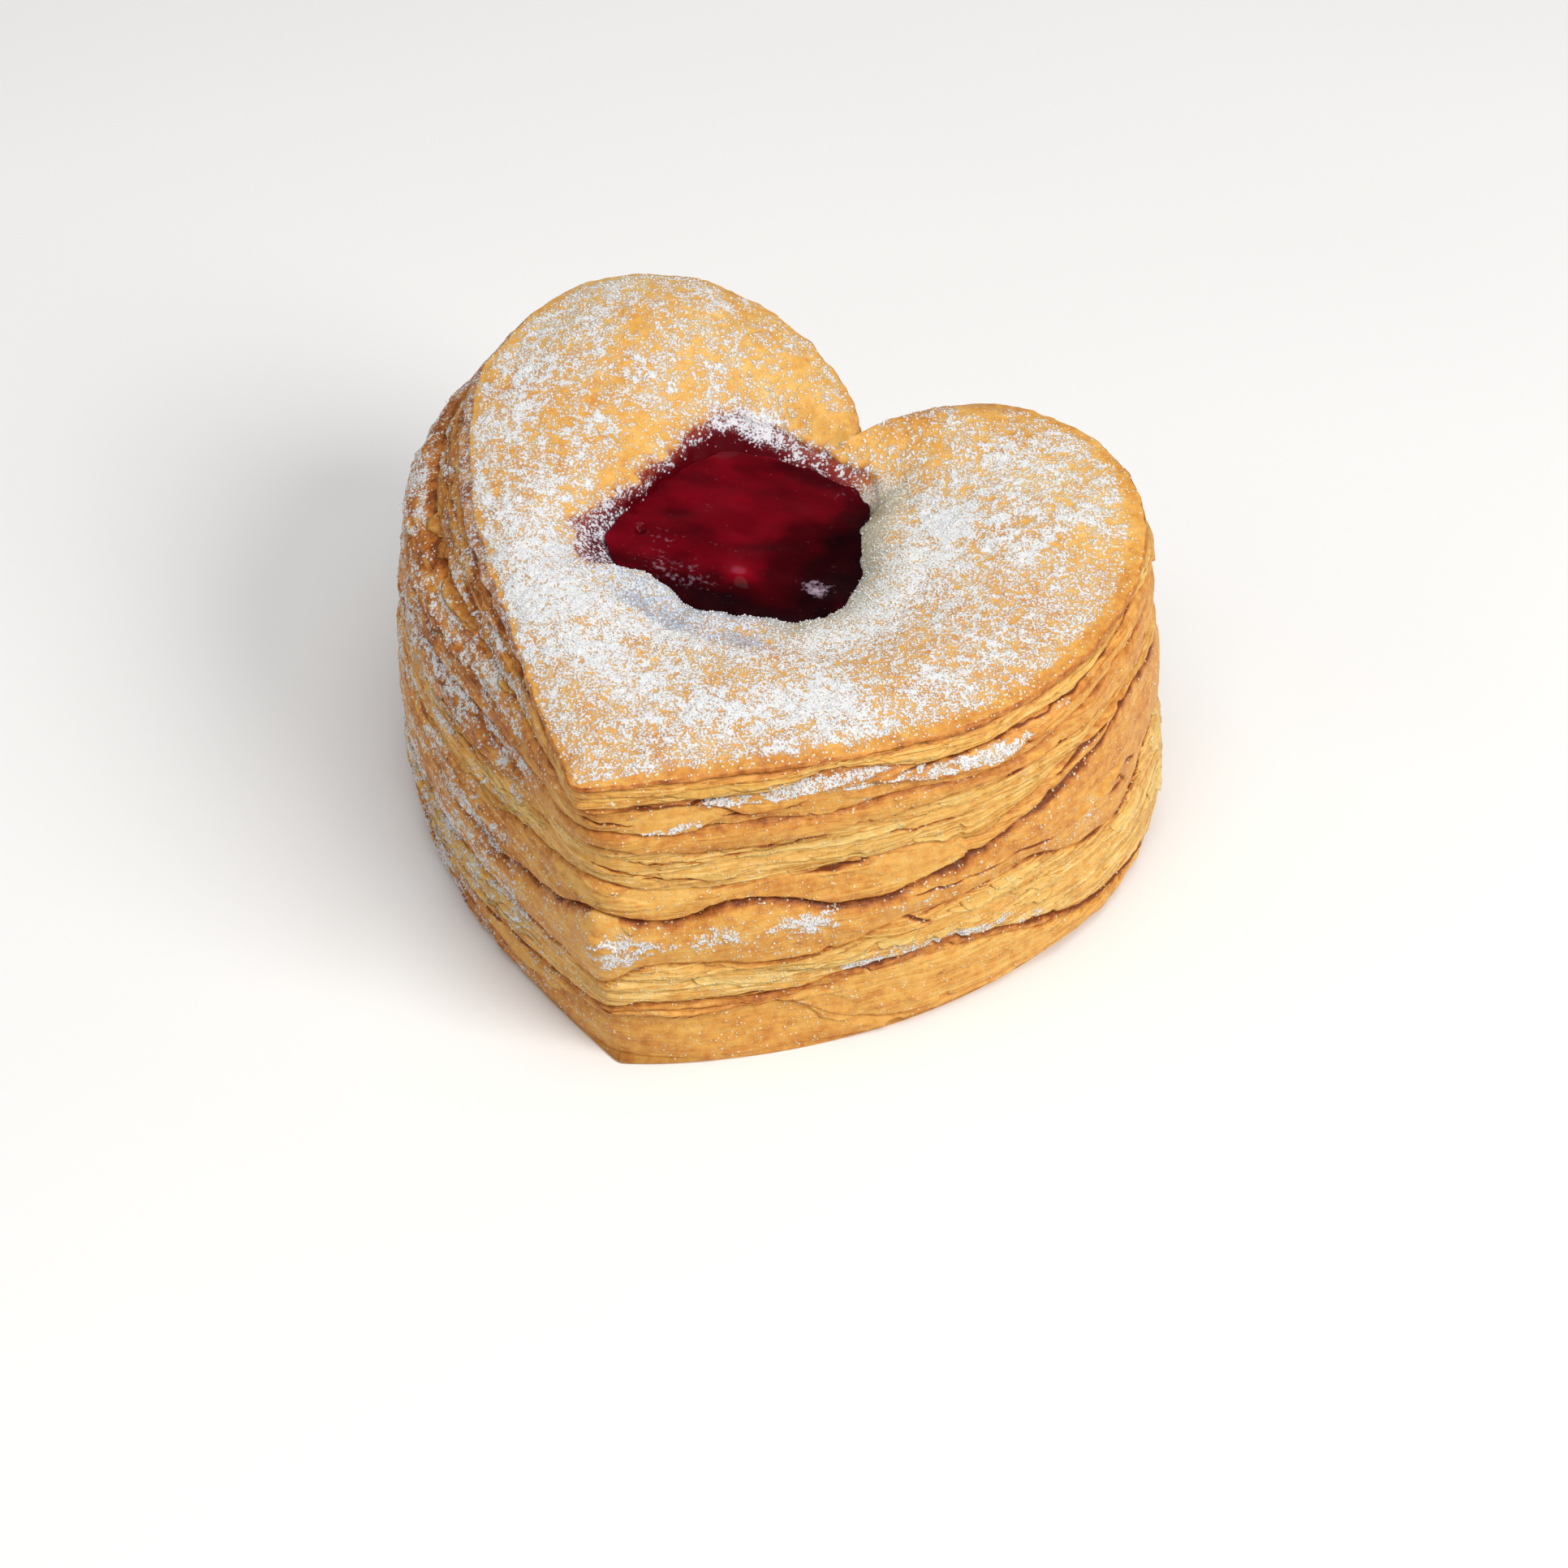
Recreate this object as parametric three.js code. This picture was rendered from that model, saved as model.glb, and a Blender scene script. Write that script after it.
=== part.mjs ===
// A heart-shaped vol-au-vent: a tall case of puff pastry whose leaves have risen and spread in the
// oven, with a round well in its lid that is filled with red fruit jam.
// Millimetres, +Z up. The case stands on its flat underside, with the heart's tip towards -Y.
import * as THREE from 'three';
import { mergeVertices } from 'three/addons/utils/BufferGeometryUtils.js';

// ---------- driving dimensions ----------

const CASE_COLUMNS = 96; // stations round the case, evenly spaced along the heart
const JAM_COLUMNS = 48;

// The two hearts that the case is stretched between. Each is a notch, the widest point of each
// lobe and the tip, and the handles say how far each curve leans out before it turns.
const LID_HEART = {
  notch: [3, 31],
  left: [-49.5, 20],
  right: [50.3, 11],
  tip: [4.5, -51],
  lobeHandles: { left: [-8, 17, -2, 39.5], right: [6, 25, 1.5, 42] },
  flankHandles: { left: [-18, -26, 25], right: [-25, 31.5, 24] },
};
const BASE_HEART = {
  notch: [3, 36],
  left: [-55.4, 17],
  right: [54.3, 14],
  tip: [9, -50.5],
  lobeHandles: { left: [-12, 17, -1, 36], right: [10, 20, 1, 36] },
  flankHandles: { left: [-33, -36, 13], right: [-21, 28.5, 12.5] },
};
// How early the case spreads from the lid's heart to the base's: 1 is an even lean, and more
// spreads sooner below the lid.
const SPREAD = { front: 1.1, right: 1.4, back: 1.6, left: 7 };

const RIM_HEIGHT = { front: 50, right: 48.5, back: 50.5, left: 51 }; // the lid's edge
const LEFT_PUFF = { x: -32, y: 36, radius: 22, height: 4.2 }; // the left lobe rose higher
const LID_CROWN = 1.6; // how far the lid swells between its rim and the well

// Leaves of pastry, from the plate up. Each says how high its upper seam lies in front, on the
// right, behind and on the left, how far it bellies out, and how deep the seam above it cuts in.
const LEAVES = [
  { name: 'foot', seam: { front: 8.5, right: 10.7, back: 9, left: 8 }, belly: 1, cut: 1.3 },
  { name: 'thin leaves', seam: { front: 10.4, right: 13, back: 12, left: 11 }, belly: 0.9, cut: 1 },
  { name: 'lower pale', seam: { front: 14.4, right: 19, back: 18, left: 15.5 }, belly: -0.3, cut: 0.8 },
  { name: 'lower crust', seam: { front: 25, right: 21.5, back: 25, left: 23.5 }, belly: 1.8, cut: 2.4 },
  { name: 'upper pale', seam: { front: 36.5, right: 35, back: 36, left: 35 }, belly: 0.8, cut: 0.6 },
  { name: 'upper crust', seam: { front: 44, right: 43, back: 45, left: 46.5 }, belly: 1.7, cut: 1.5 },
  { name: 'lid', seam: RIM_HEIGHT, belly: 0.5, cut: 0 },
];
const LEAF_STEPS = [0, 0.28, 0.72, 1]; // where a leaf's height has a ring
const BELLY_SPAN = [0.12, 0.88]; // the stretch of a half wave that a leaf's belly follows
const SEAM_GAP = 0.9; // height that each seam's undercut takes
const SEAM_ROUND = 0.35; // how much of the cut the leaf below the seam is rounded by
const FOOT_ROUND = 1; // the foot lifts this far off the plate at its very edge
const WANDER = { reach: 0.7, height: 0.45 }; // how unevenly the leaves spread and rise
const UNDERSIDE_STEPS = [0.35, 0.7, 1];
const LID_STEPS = [0.03, 0.16, 0.36, 0.58, 0.8, 1]; // from the rim in to the well's lip

// The well in the lid, and the jam in it.
const WELL = { x: -2.5, y: 7.5, halfWidth: 17, halfLength: 19.5, squareness: 2.3, turn: 0.2 };
const WELL_FLOOR = 15;
const WELL_TAPER = 0.86; // the well narrows this much towards its floor
const LIP = { front: 6, right: 5.5, back: 1.8, left: 3 }; // radius where the lid turns into the well
const LIP_DROP = 0.75; // how far the lip falls, for its radius
const LIP_STEPS = [0.35, 0.7, 1];
const JAM_LEVEL = 45.6;
const JAM_LUMP = { height: 0.6, across: 0.31, along: 0.27 }; // fruit in the jam, radians per mm
const JAM_GAP = 0.5; // between the jam's facets and the wall's
const JAM_EDGE_DROP = 0.8; // the jam's surface turns down at the wall
const JAM_STEPS = [0.97, 0.8, 0.55, 0.28]; // from the wall in to the middle

// ---------- the heart and what runs round it ----------

// A value that changes smoothly round the case between its front, right, back and left.
function around(value, angle) {
  const mean = (value.front + value.right + value.back + value.left) / 4;
  const sideways = (value.right - value.left) / 2;
  const lengthways = (value.back - value.front) / 2;
  const across = (value.right + value.left - value.back - value.front) / 4;
  return mean + sideways * Math.cos(angle) + lengthways * Math.sin(angle) + across * Math.cos(2 * angle);
}

function halfHeart(heart, side) {
  const [notchX, notchY] = heart.notch;
  const [wideX, wideY] = heart[side];
  const [tipX, tipY] = heart.tip;
  const [riseX, riseY, leanX, leanY] = heart.lobeHandles[side];
  const [sinkY, flankX, flankY] = heart.flankHandles[side];
  const half = new THREE.Path();
  half.moveTo(notchX, notchY);
  half.bezierCurveTo(notchX + riseX, notchY + riseY, wideX + leanX, wideY + leanY, wideX, wideY);
  half.bezierCurveTo(wideX, wideY + sinkY, tipX + flankX, tipY + flankY, tipX, tipY);
  return half.getSpacedPoints(CASE_COLUMNS / 2);
}

// Stations counter-clockwise from the notch: down the left side to the tip, and up the right side.
function heartStations(heart) {
  const left = halfHeart(heart, 'left');
  const right = halfHeart(heart, 'right').reverse();
  return [...left.slice(0, -1), ...right.slice(0, -1)];
}

const lidStations = heartStations(LID_HEART);
const baseStations = heartStations(BASE_HEART);
const angles = lidStations.map((p) => Math.atan2(p.y - WELL.y, p.x - WELL.x));

// The unevenness of a hand-laid leaf: two waves round the case, shifted for each leaf.
function wander(angle, leaf) {
  return 0.6 * Math.sin(5 * angle + 1.7 * leaf) + 0.4 * Math.sin(9 * angle + 2.9 * leaf + 1);
}

// Outward direction of the base heart at a station.
function outward(column) {
  const before = baseStations[(column + CASE_COLUMNS - 1) % CASE_COLUMNS];
  const after = baseStations[(column + 1) % CASE_COLUMNS];
  return new THREE.Vector2(after.y - before.y, before.x - after.x).normalize();
}

// ---------- the case ----------

function sidePoint(column, height, reach) {
  const angle = angles[column];
  const rise = THREE.MathUtils.clamp(height / around(RIM_HEIGHT, angle), 0, 1);
  const spread = 1 - rise ** around(SPREAD, angle);
  const point = lidStations[column].clone().lerp(baseStations[column], spread);
  point.addScaledVector(outward(column), reach);
  return new THREE.Vector3(point.x, point.y, height);
}

function lidHeight(x, y, angle, inset) {
  const distance = Math.hypot(x - LEFT_PUFF.x, y - LEFT_PUFF.y) / LEFT_PUFF.radius;
  const puff = LEFT_PUFF.height * Math.exp(-distance * distance);
  return around(RIM_HEIGHT, angle) + puff + LID_CROWN * Math.sin(Math.PI * inset) ** 0.7;
}

// A point of the well's rounded square, grown outwards by some millimetres.
function wellPoint(angle, grow) {
  const power = 2 / WELL.squareness;
  const c = Math.cos(angle - WELL.turn);
  const s = Math.sin(angle - WELL.turn);
  const x = Math.sign(c) * Math.abs(c) ** power * (WELL.halfWidth + grow);
  const y = Math.sign(s) * Math.abs(s) ** power * (WELL.halfLength + grow);
  const turned = new THREE.Vector2(x, y).rotateAround(new THREE.Vector2(), WELL.turn);
  return turned.add(new THREE.Vector2(WELL.x, WELL.y));
}

// A point of the well's wall, which narrows from the jam's level to the floor.
function wallPoint(angle, grow, height) {
  const depth = (JAM_LEVEL - height) / (JAM_LEVEL - WELL_FLOOR);
  const narrow = THREE.MathUtils.lerp(1, WELL_TAPER, depth);
  const p = wellPoint(angle, grow);
  return new THREE.Vector3(WELL.x + (p.x - WELL.x) * narrow, WELL.y + (p.y - WELL.y) * narrow, height);
}

function seamHeight(leaf, angle, index) {
  const uneven = leaf.name === 'lid' ? 0 : WANDER.height * wander(angle, index);
  return around(leaf.seam, angle) + uneven;
}

// Rings of the side: each leaf starts in the cut of the seam below it and bellies out above it.
function sideRings() {
  return LEAVES.flatMap((leaf, index) => LEAF_STEPS.map((step) => (column) => {
    const angle = angles[column];
    const below = LEAVES[index - 1];
    const low = below ? seamHeight(below, angle, index - 1) + SEAM_GAP : FOOT_ROUND;
    const high = seamHeight(leaf, angle, index);
    const belly = leaf.belly * Math.sin(Math.PI * THREE.MathUtils.lerp(...BELLY_SPAN, step));
    const cut = step === 0 && below ? below.cut : 0;
    const round = step === 1 ? leaf.cut * SEAM_ROUND : 0;
    const uneven = leaf.name === 'lid' ? 0 : WANDER.reach * wander(angle, index + 10);
    return sidePoint(column, THREE.MathUtils.lerp(low, high, step), belly - cut - round + uneven);
  }));
}

// Rings of the flat underside, from its middle out.
function undersideRings() {
  return UNDERSIDE_STEPS.map((step) => (column) => {
    const edge = sidePoint(column, 0, -FOOT_ROUND);
    return new THREE.Vector3(WELL.x, WELL.y, 0).lerp(edge, step);
  });
}

// Rings of the lid, from its rim in to the lip of the well.
function lidRings() {
  return LID_STEPS.map((inset) => (column) => {
    const angle = angles[column];
    const rim = sidePoint(column, around(RIM_HEIGHT, angle), 0);
    const lip = wellPoint(angle, around(LIP, angle));
    const x = THREE.MathUtils.lerp(rim.x, lip.x, inset);
    const y = THREE.MathUtils.lerp(rim.y, lip.y, inset);
    return new THREE.Vector3(x, y, lidHeight(x, y, angle, inset));
  });
}

// Rings of the well: round the lip, and down the wall to the floor.
function wellRings() {
  const lip = LIP_STEPS.map((step) => (column) => {
    const angle = angles[column];
    const radius = around(LIP, angle);
    const turn = (step * Math.PI) / 2;
    const p = wellPoint(angle, radius * (1 - Math.sin(turn)));
    const drop = LIP_DROP * radius * (1 - Math.cos(turn));
    return new THREE.Vector3(p.x, p.y, lidHeight(p.x, p.y, angle, 1) - drop);
  });
  const middle = (JAM_LEVEL + WELL_FLOOR) / 2;
  const wall = [middle, WELL_FLOOR].map((height) => (column) => wallPoint(angles[column], 0, height));
  return [...lip, ...wall];
}

// A closed body from rings stacked between two points on the well's axis: a lathe gives the
// closed skin, and every one of its points is then moved out to its own place on the ring.
function ringBody(rings, columns, bottom, top) {
  const profile = [new THREE.Vector2(0, 0)];
  rings.forEach((ring, index) => profile.push(new THREE.Vector2(1, index)));
  profile.push(new THREE.Vector2(0, rings.length));
  const turned = new THREE.LatheGeometry(profile, columns);
  const place = turned.getAttribute('position');
  for (let column = 0; column <= columns; column += 1) {
    const points = [bottom, ...rings.map((ring) => ring(column % columns)), top];
    points.forEach((p, row) => place.setXYZ(column * profile.length + row, p.x, p.y, p.z));
  }
  turned.deleteAttribute('normal');
  turned.deleteAttribute('uv');
  const body = mergeVertices(turned);
  body.computeVertexNormals();
  return body;
}

const pastry = new THREE.Mesh(
  ringBody(
    [...undersideRings(), ...sideRings(), ...lidRings(), ...wellRings()],
    CASE_COLUMNS,
    new THREE.Vector3(WELL.x, WELL.y, 0),
    new THREE.Vector3(WELL.x, WELL.y, WELL_FLOOR),
  ),
  new THREE.MeshStandardMaterial({ color: 0xdfa95a, roughness: 0.75, metalness: 0 }),
);
pastry.name = 'pastry_case';

// ---------- the jam ----------

function jamHeight(x, y) {
  const lumps = Math.sin(x * JAM_LUMP.across + 1.2) * Math.cos(y * JAM_LUMP.along - 0.4);
  const ripple = Math.sin((x - y) * (JAM_LUMP.across + JAM_LUMP.along) * 0.8);
  return JAM_LEVEL + JAM_LUMP.height * (lumps + 0.6 * ripple);
}

function jamRings() {
  const angleOf = (column) => (column / JAM_COLUMNS) * 2 * Math.PI;
  const wall = [WELL_FLOOR + JAM_GAP, JAM_LEVEL - 2].map((height) => (column) =>
    wallPoint(angleOf(column), -JAM_GAP, height));
  const surface = JAM_STEPS.map((step, index) => (column) => {
    const edge = wellPoint(angleOf(column), -JAM_GAP);
    const x = THREE.MathUtils.lerp(WELL.x, edge.x, step);
    const y = THREE.MathUtils.lerp(WELL.y, edge.y, step);
    return new THREE.Vector3(x, y, jamHeight(x, y) - (index === 0 ? JAM_EDGE_DROP : 0));
  });
  return [...wall, ...surface];
}

const jam = new THREE.Mesh(
  ringBody(
    jamRings(),
    JAM_COLUMNS,
    new THREE.Vector3(WELL.x, WELL.y, WELL_FLOOR + JAM_GAP),
    new THREE.Vector3(WELL.x, WELL.y, jamHeight(WELL.x, WELL.y)),
  ),
  new THREE.MeshStandardMaterial({ color: 0x6e0818, roughness: 0.12, metalness: 0 }),
);
jam.name = 'jam_filling';

// ---------- the whole, centred over its footprint ----------

const volAuVent = new THREE.Group();
volAuVent.add(pastry, jam);
const centre = new THREE.Box3().setFromObject(volAuVent).getCenter(new THREE.Vector3());
pastry.position.set(-centre.x, -centre.y, 0);
jam.position.copy(pastry.position);

export default volAuVent;
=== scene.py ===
import math

import bmesh
import bpy
import numpy as np
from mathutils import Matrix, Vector


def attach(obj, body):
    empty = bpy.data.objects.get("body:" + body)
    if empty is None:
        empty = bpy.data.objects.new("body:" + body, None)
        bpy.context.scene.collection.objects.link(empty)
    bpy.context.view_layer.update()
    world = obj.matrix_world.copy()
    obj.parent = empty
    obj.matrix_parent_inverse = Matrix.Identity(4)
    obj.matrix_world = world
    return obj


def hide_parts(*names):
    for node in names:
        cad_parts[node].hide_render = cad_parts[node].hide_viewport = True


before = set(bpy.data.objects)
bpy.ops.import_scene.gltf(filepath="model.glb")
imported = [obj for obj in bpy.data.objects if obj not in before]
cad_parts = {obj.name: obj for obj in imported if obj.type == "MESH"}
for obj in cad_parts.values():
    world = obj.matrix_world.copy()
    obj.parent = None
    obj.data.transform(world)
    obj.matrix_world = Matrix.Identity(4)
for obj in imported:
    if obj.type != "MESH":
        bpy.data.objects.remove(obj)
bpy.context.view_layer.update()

# ------------------------------------------------------------------------------------------
# The lid: the top sheet of the heart, cut by the same cutter as the sheets below it, with a
# round well pressed and cut through it. Its skin is egg-washed and baked golden, its edge
# shows the pale leaves under the skin, and its lip rolls down into the well.
# ------------------------------------------------------------------------------------------

MM = 0.001  # lengths are in millimetres, and are turned to metres where a mesh is made
COLUMNS = 960  # columns of every ring round the heart, counted from its notch
CRISP, BLUNT = 2.2, 17  # how rounded the tip of a sheet is, in columns
CUTTER_MIDDLE = np.array([1.0176, 1.9353])  # where the middle of the heart's cutter stood

# Each heart is its notch, the widest point of each side and its tip, with the handles of the
# curves between them: two for a lobe, as (x, y, x, y), and two for a flank, as (y, x, y).
LID_HEART = {
    "notch": (3, 31), "left": (-49.5, 20), "right": (50.3, 11), "tip": (4.5, -51),
    "lobe": {"left": (-8, 17, -2, 39.5), "right": (6, 25, 1.5, 42)},
    "flank": {"left": (-18, -26, 25), "right": (-25, 31.5, 24)},
}
BASE_HEART = {
    "notch": (3, 36), "left": (-55.4, 17), "right": (54.3, 14), "tip": (9, -50.5),
    "lobe": {"left": (-12, 17, -1, 36), "right": (10, 20, 1, 36)},
    "flank": {"left": (-33, -36, 13), "right": (-21, 28.5, 12.5)},
}
# Values that change round the case are given as (front, right, back, left).
RIM_HEIGHT = (50, 48.5, 50.5, 51)
SPREAD = (1.1, 1.4, 1.6, 7)  # how soon the side spreads to the base on its way down
LEFT_PUFF = {"x": -32, "y": 36, "radius": 22, "height": 4.2}
LID_CROWN = 1.5  # how far the lid swells between its rim and its well
WELL = {"x": -2.5, "y": 7.5}
# The well's wall where the jam meets it, as (direction in degrees, distance from the middle),
# and how far the wall has leant out by the time it reaches the lid.
WELL_WALL = ((-178, 15.5), (-160, 17.3), (-137, 19), (-125, 17.9), (-115, 16.6), (-97, 17.3), (-87, 17.8),
             (-71, 17), (-50, 17.9), (-31, 19.6), (-18, 19.4), (1, 17.7), (24, 16.1), (36, 16.3),
             (48, 17.7), (61, 18.1), (75, 16.5), (94, 15.6), (114, 16.3), (128, 17.1), (144, 16.3),
             (162, 15.1))
WALL_FLARE = ((-170, 1.2), (-160, 2.2), (-150, 3.6), (-138, 5), (-128, 5.6), (-118, 4.2), (-106, 1.6),
              (-94, 0), (-80, -0.6), (-45, -0.6), (-20, -1), (0, -1.3), (35, -0.8), (50, 1.6),
              (62, 2.8), (75, 3), (90, 3.6), (103, 4.8), (116, 5), (130, 4.2), (140, 3.4), (150, 1.8),
              (165, 1.2))
WALL_FOOT = 43.2  # the wall reaches down to here, under the jam
# How wide the lip is, by direction, and how far down it rolls for its width.
LIP_RADIUS = ((-165, 1.4), (-145, 1.4), (-126, 1.8), (-112, 2), (-103, 2.8), (-95, 4.8), (-86, 7.4),
              (-70, 8.8), (-40, 10), (-20, 10.4), (5, 9.8), (25, 8.4), (42, 5.5), (56, 2.5), (70, 1.4),
              (100, 1.3), (150, 1.3))
LIP_DROP = 0.6
WELL_SAG = (0.6, 0.3, 2.8, 1.6)  # how far the lid sank towards its well
NOTCH_DIP = 2.4  # how far it sank at the notch
JAM_LEVEL = {"middle": 46.1, "east": -0.04, "north": 0.01}  # it set a little out of level


def bezier(p0, p1, p2, p3, t):
    """Points along a cubic curve from p0 to p3."""
    t = t[:, None]
    return (1 - t) ** 3 * p0 + 3 * (1 - t) ** 2 * t * p1 + 3 * (1 - t) * t * t * p2 + t ** 3 * p3


def half_heart(heart, half, count):
    """Evenly spaced points down one half of the heart, from its notch to its tip."""
    notch, wide, tip = (np.array(heart[k], float) for k in ("notch", half, "tip"))
    rise_x, rise_y, lean_x, lean_y = heart["lobe"][half]
    sink_y, flank_x, flank_y = heart["flank"][half]
    t = np.linspace(0, 1, 400)
    lobe = bezier(notch, notch + (rise_x, rise_y), wide + (lean_x, lean_y), wide, t)
    flank = bezier(wide, wide + (0, sink_y), tip + (flank_x, flank_y), tip, t)
    line = np.vstack([lobe, flank[1:]])
    run = np.r_[0, np.cumsum(np.linalg.norm(np.diff(line, axis=0), axis=1))]
    at = np.linspace(0, run[-1], count + 1)
    return np.stack([np.interp(at, run, line[:, k]) for k in (0, 1)], 1)


def soften(values, width):
    """Rounds off values that run once round the case, over a width in columns."""
    waves = np.fft.rfftfreq(len(values))
    fade = np.exp(-2 * (math.pi * waves * width) ** 2)
    if values.ndim == 2:
        fade = fade[:, None]
    return np.fft.irfft(np.fft.rfft(values, axis=0) * fade, len(values), axis=0)


def heart_outline(heart, rounding):
    """The heart from its notch down the left side to the tip and up the right side."""
    left = half_heart(heart, "left", COLUMNS // 2)
    right = half_heart(heart, "right", COLUMNS // 2)[::-1]
    return soften(np.vstack([left[:-1], right[:-1]]), rounding)


def around(value):
    """A (front, right, back, left) value in every direction, smooth between the four."""
    front, right, back, left = value
    mean = (front + right + back + left) / 4
    sideways = (right - left) / 2 * np.cos(angle) + (back - front) / 2 * np.sin(angle)
    return mean + sideways + (right + left - back - front) / 4 * np.cos(2 * angle)


def lattice(cell, seed):
    """Three repeatable numbers from -1 to 1 for each cell of a lattice."""
    cell = cell.astype(np.int64).astype(np.uint64)
    mix = cell[..., 0] * np.uint64(73856093) ^ cell[..., 1] * np.uint64(19349663)
    mix = mix ^ cell[..., 2] * np.uint64(83492791) ^ np.uint64(seed * 2654435761 % 2 ** 32)
    numbers = []
    for _ in range(3):
        mix = (mix ^ (mix >> np.uint64(15))) * np.uint64(2246822519) & np.uint64(0xFFFFFFFF)
        mix = (mix ^ (mix >> np.uint64(13))) * np.uint64(3266489917) & np.uint64(0xFFFFFFFF)
        mix = mix ^ (mix >> np.uint64(16))
        numbers.append(mix.astype(float) / 2 ** 31 - 1)
    return np.stack(numbers, -1)


def noise(points, seed=0):
    """Smooth noise from about -1 to 1, with features one unit wide."""
    cell = np.floor(points)
    inside = points - cell
    eased = inside ** 3 * (inside * (inside * 6 - 15) + 10)
    total = np.zeros(points.shape[:-1])
    for corner in np.ndindex(2, 2, 2):
        weight = np.prod(np.where(corner, eased, 1 - eased), axis=-1)
        slope = lattice(cell + corner, seed)
        total += weight * np.sum(slope * (inside - corner), axis=-1)
    return total * 1.5


def cloud(x, y, z, size, seed, octaves=3):
    """Noise with finer noise on it; size is the width of its features, the same or per axis."""
    points = np.stack(np.broadcast_arrays(x, y, z), -1) / size
    return sum(noise(points * 2 ** k, seed + k) * 0.55 ** k for k in range(octaves))


def ease(value, low, high):
    """0 below low, 1 above high, and smooth between them."""
    t = np.clip((value - low) / (high - low), 0, 1)
    return t * t * (3 - 2 * t)


turn_share = np.arange(COLUMNS) / COLUMNS  # how far round the heart each column is
near_tip = np.exp(-((turn_share - 0.5) / 0.075) ** 2)[:, None]
lid_line = heart_outline(LID_HEART, CRISP)
base_line = heart_outline(BASE_HEART, CRISP)
lid_blunting = (heart_outline(LID_HEART, BLUNT) - lid_line) * near_tip
base_blunting = (heart_outline(BASE_HEART, BLUNT) - base_line) * near_tip
along = np.roll(base_line, -1, axis=0) - np.roll(base_line, 1, axis=0)
outward = soften(np.stack([along[:, 1], -along[:, 0]], 1), 3)
outward /= np.linalg.norm(outward, axis=1)[:, None]
angle = np.arctan2(lid_line[:, 1] - WELL["y"], lid_line[:, 0] - WELL["x"])


def toward(direction):
    """1 where the case faces this direction, in degrees, 0 beside it, and -1 opposite it."""
    return np.cos(angle - math.radians(direction))


facing_left = ease(toward(200), 0.1, 0.8)
facing_right = ease(toward(0), 0.5, 0.95)


def puff(x, y):
    """The left lobe, which rose higher than the rest."""
    distance = np.hypot(x - LEFT_PUFF["x"], y - LEFT_PUFF["y"]) / LEFT_PUFF["radius"]
    return LEFT_PUFF["height"] * np.exp(-distance ** 2)


from_notch = np.minimum(turn_share, 1 - turn_share)
notch_dip = NOTCH_DIP * np.exp(-(from_notch / 0.055) ** 2)
stack_height = around(RIM_HEIGHT) + puff(lid_line[:, 0], lid_line[:, 1]) - notch_dip
puff_stretch = stack_height / around(RIM_HEIGHT)


def side(height, reach, blunt=0.0):
    """Points of the side at these heights, each some millimetres out from the plain side."""
    rise = np.clip(height / stack_height, 0, 1)
    spread = (1 - rise ** around(SPREAD))[..., None]
    lid_share = (lid_line + lid_blunting * blunt) * (1 - spread)
    level = lid_share + (base_line + base_blunting * blunt) * spread
    reach = np.broadcast_to(reach, height.shape)[..., None]
    return np.concatenate([level + outward * reach, height[..., None]], -1)


def tuck(height, share):
    """A hidden ring inside the pastry, between its side at 0 and the well at 1."""
    height = np.broadcast_to(height, (COLUMNS,)).astype(float)
    hidden = side(height, -0.8)
    hidden[:, :2] += (well_edge(1.0) - hidden[:, :2]) * share
    return hidden


def through(keys, places, period):
    """A smooth line through given (place, value) keys that repeats after a period."""
    at, values = np.array(keys, float).T
    at = np.r_[at[-2:] - period, at, at[:2] + period]
    values = np.r_[values[-2:], values, values[:2]]
    slopes = np.gradient(values, at)
    places = (places - at[2]) % period + at[2]
    k = np.searchsorted(at, places, side="right") - 1
    gap = at[k + 1] - at[k]
    t = (places - at[k]) / gap
    from_key = values[k] * (1 + 2 * t) * (1 - t) ** 2 + slopes[k] * gap * t * (1 - t) ** 2
    to_key = values[k + 1] * t * t * (3 - 2 * t) + slopes[k + 1] * gap * t * t * (t - 1)
    return from_key + to_key


def well_edge(grow, angle=angle):
    """The well's wall where the jam meets it, grown outwards by some millimetres."""
    bump = 0.22 * np.sin(9 * angle + 0.6) + 0.18 * np.sin(17 * angle + 2) + 0.12 * np.sin(31 * angle)
    distance = through(WELL_WALL, np.degrees(angle), 360) + bump + grow
    return np.stack([WELL["x"] + distance * np.cos(angle), WELL["y"] + distance * np.sin(angle)], -1)


def lid_height(x, y, inset):
    """Height of the lid, at a share of the way in from its rim to its well."""
    sag = notch_dip + np.maximum(around(WELL_SAG) - notch_dip, 0) * inset ** 3
    return around(RIM_HEIGHT) + puff(x, y) + LID_CROWN * np.sin(math.pi * inset) - sag


def keyed(keys):
    """A line through (share of the way round, value) keys, for every column."""
    return through(keys, turn_share, 1)


def by_direction(keys):
    """A line through (direction in degrees, value) keys, for every column."""
    return through(keys, np.degrees(angle), 360)


def blobs(spots, x, y):
    """Sum of soft round spots, each (x, y, radius across, radius along, amount)."""
    total = 0
    for spot_x, spot_y, across, length, amount in spots:
        total = total + amount * np.exp(-((x - spot_x) / across) ** 2 - ((y - spot_y) / length) ** 2)
    return total


def facing(rings):
    """Unit normals of a grid of rings, found from its neighbours."""
    run = np.roll(rings, -1, axis=1) - np.roll(rings, 1, axis=1)
    fall = np.gradient(rings, axis=0)
    normal = np.cross(fall, run)
    return normal / np.maximum(np.linalg.norm(normal, axis=-1), 1e-9)[..., None]


def ring(places, height):
    """A ring of points at these places, at one height or at a height for each."""
    height = np.broadcast_to(height, (len(places),))
    return np.concatenate([places, height[:, None]], 1)


def come_round(grid):
    """A grid with its first column once more at its end."""
    return np.concatenate([grid, grid[:, :1]], 1)


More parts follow.
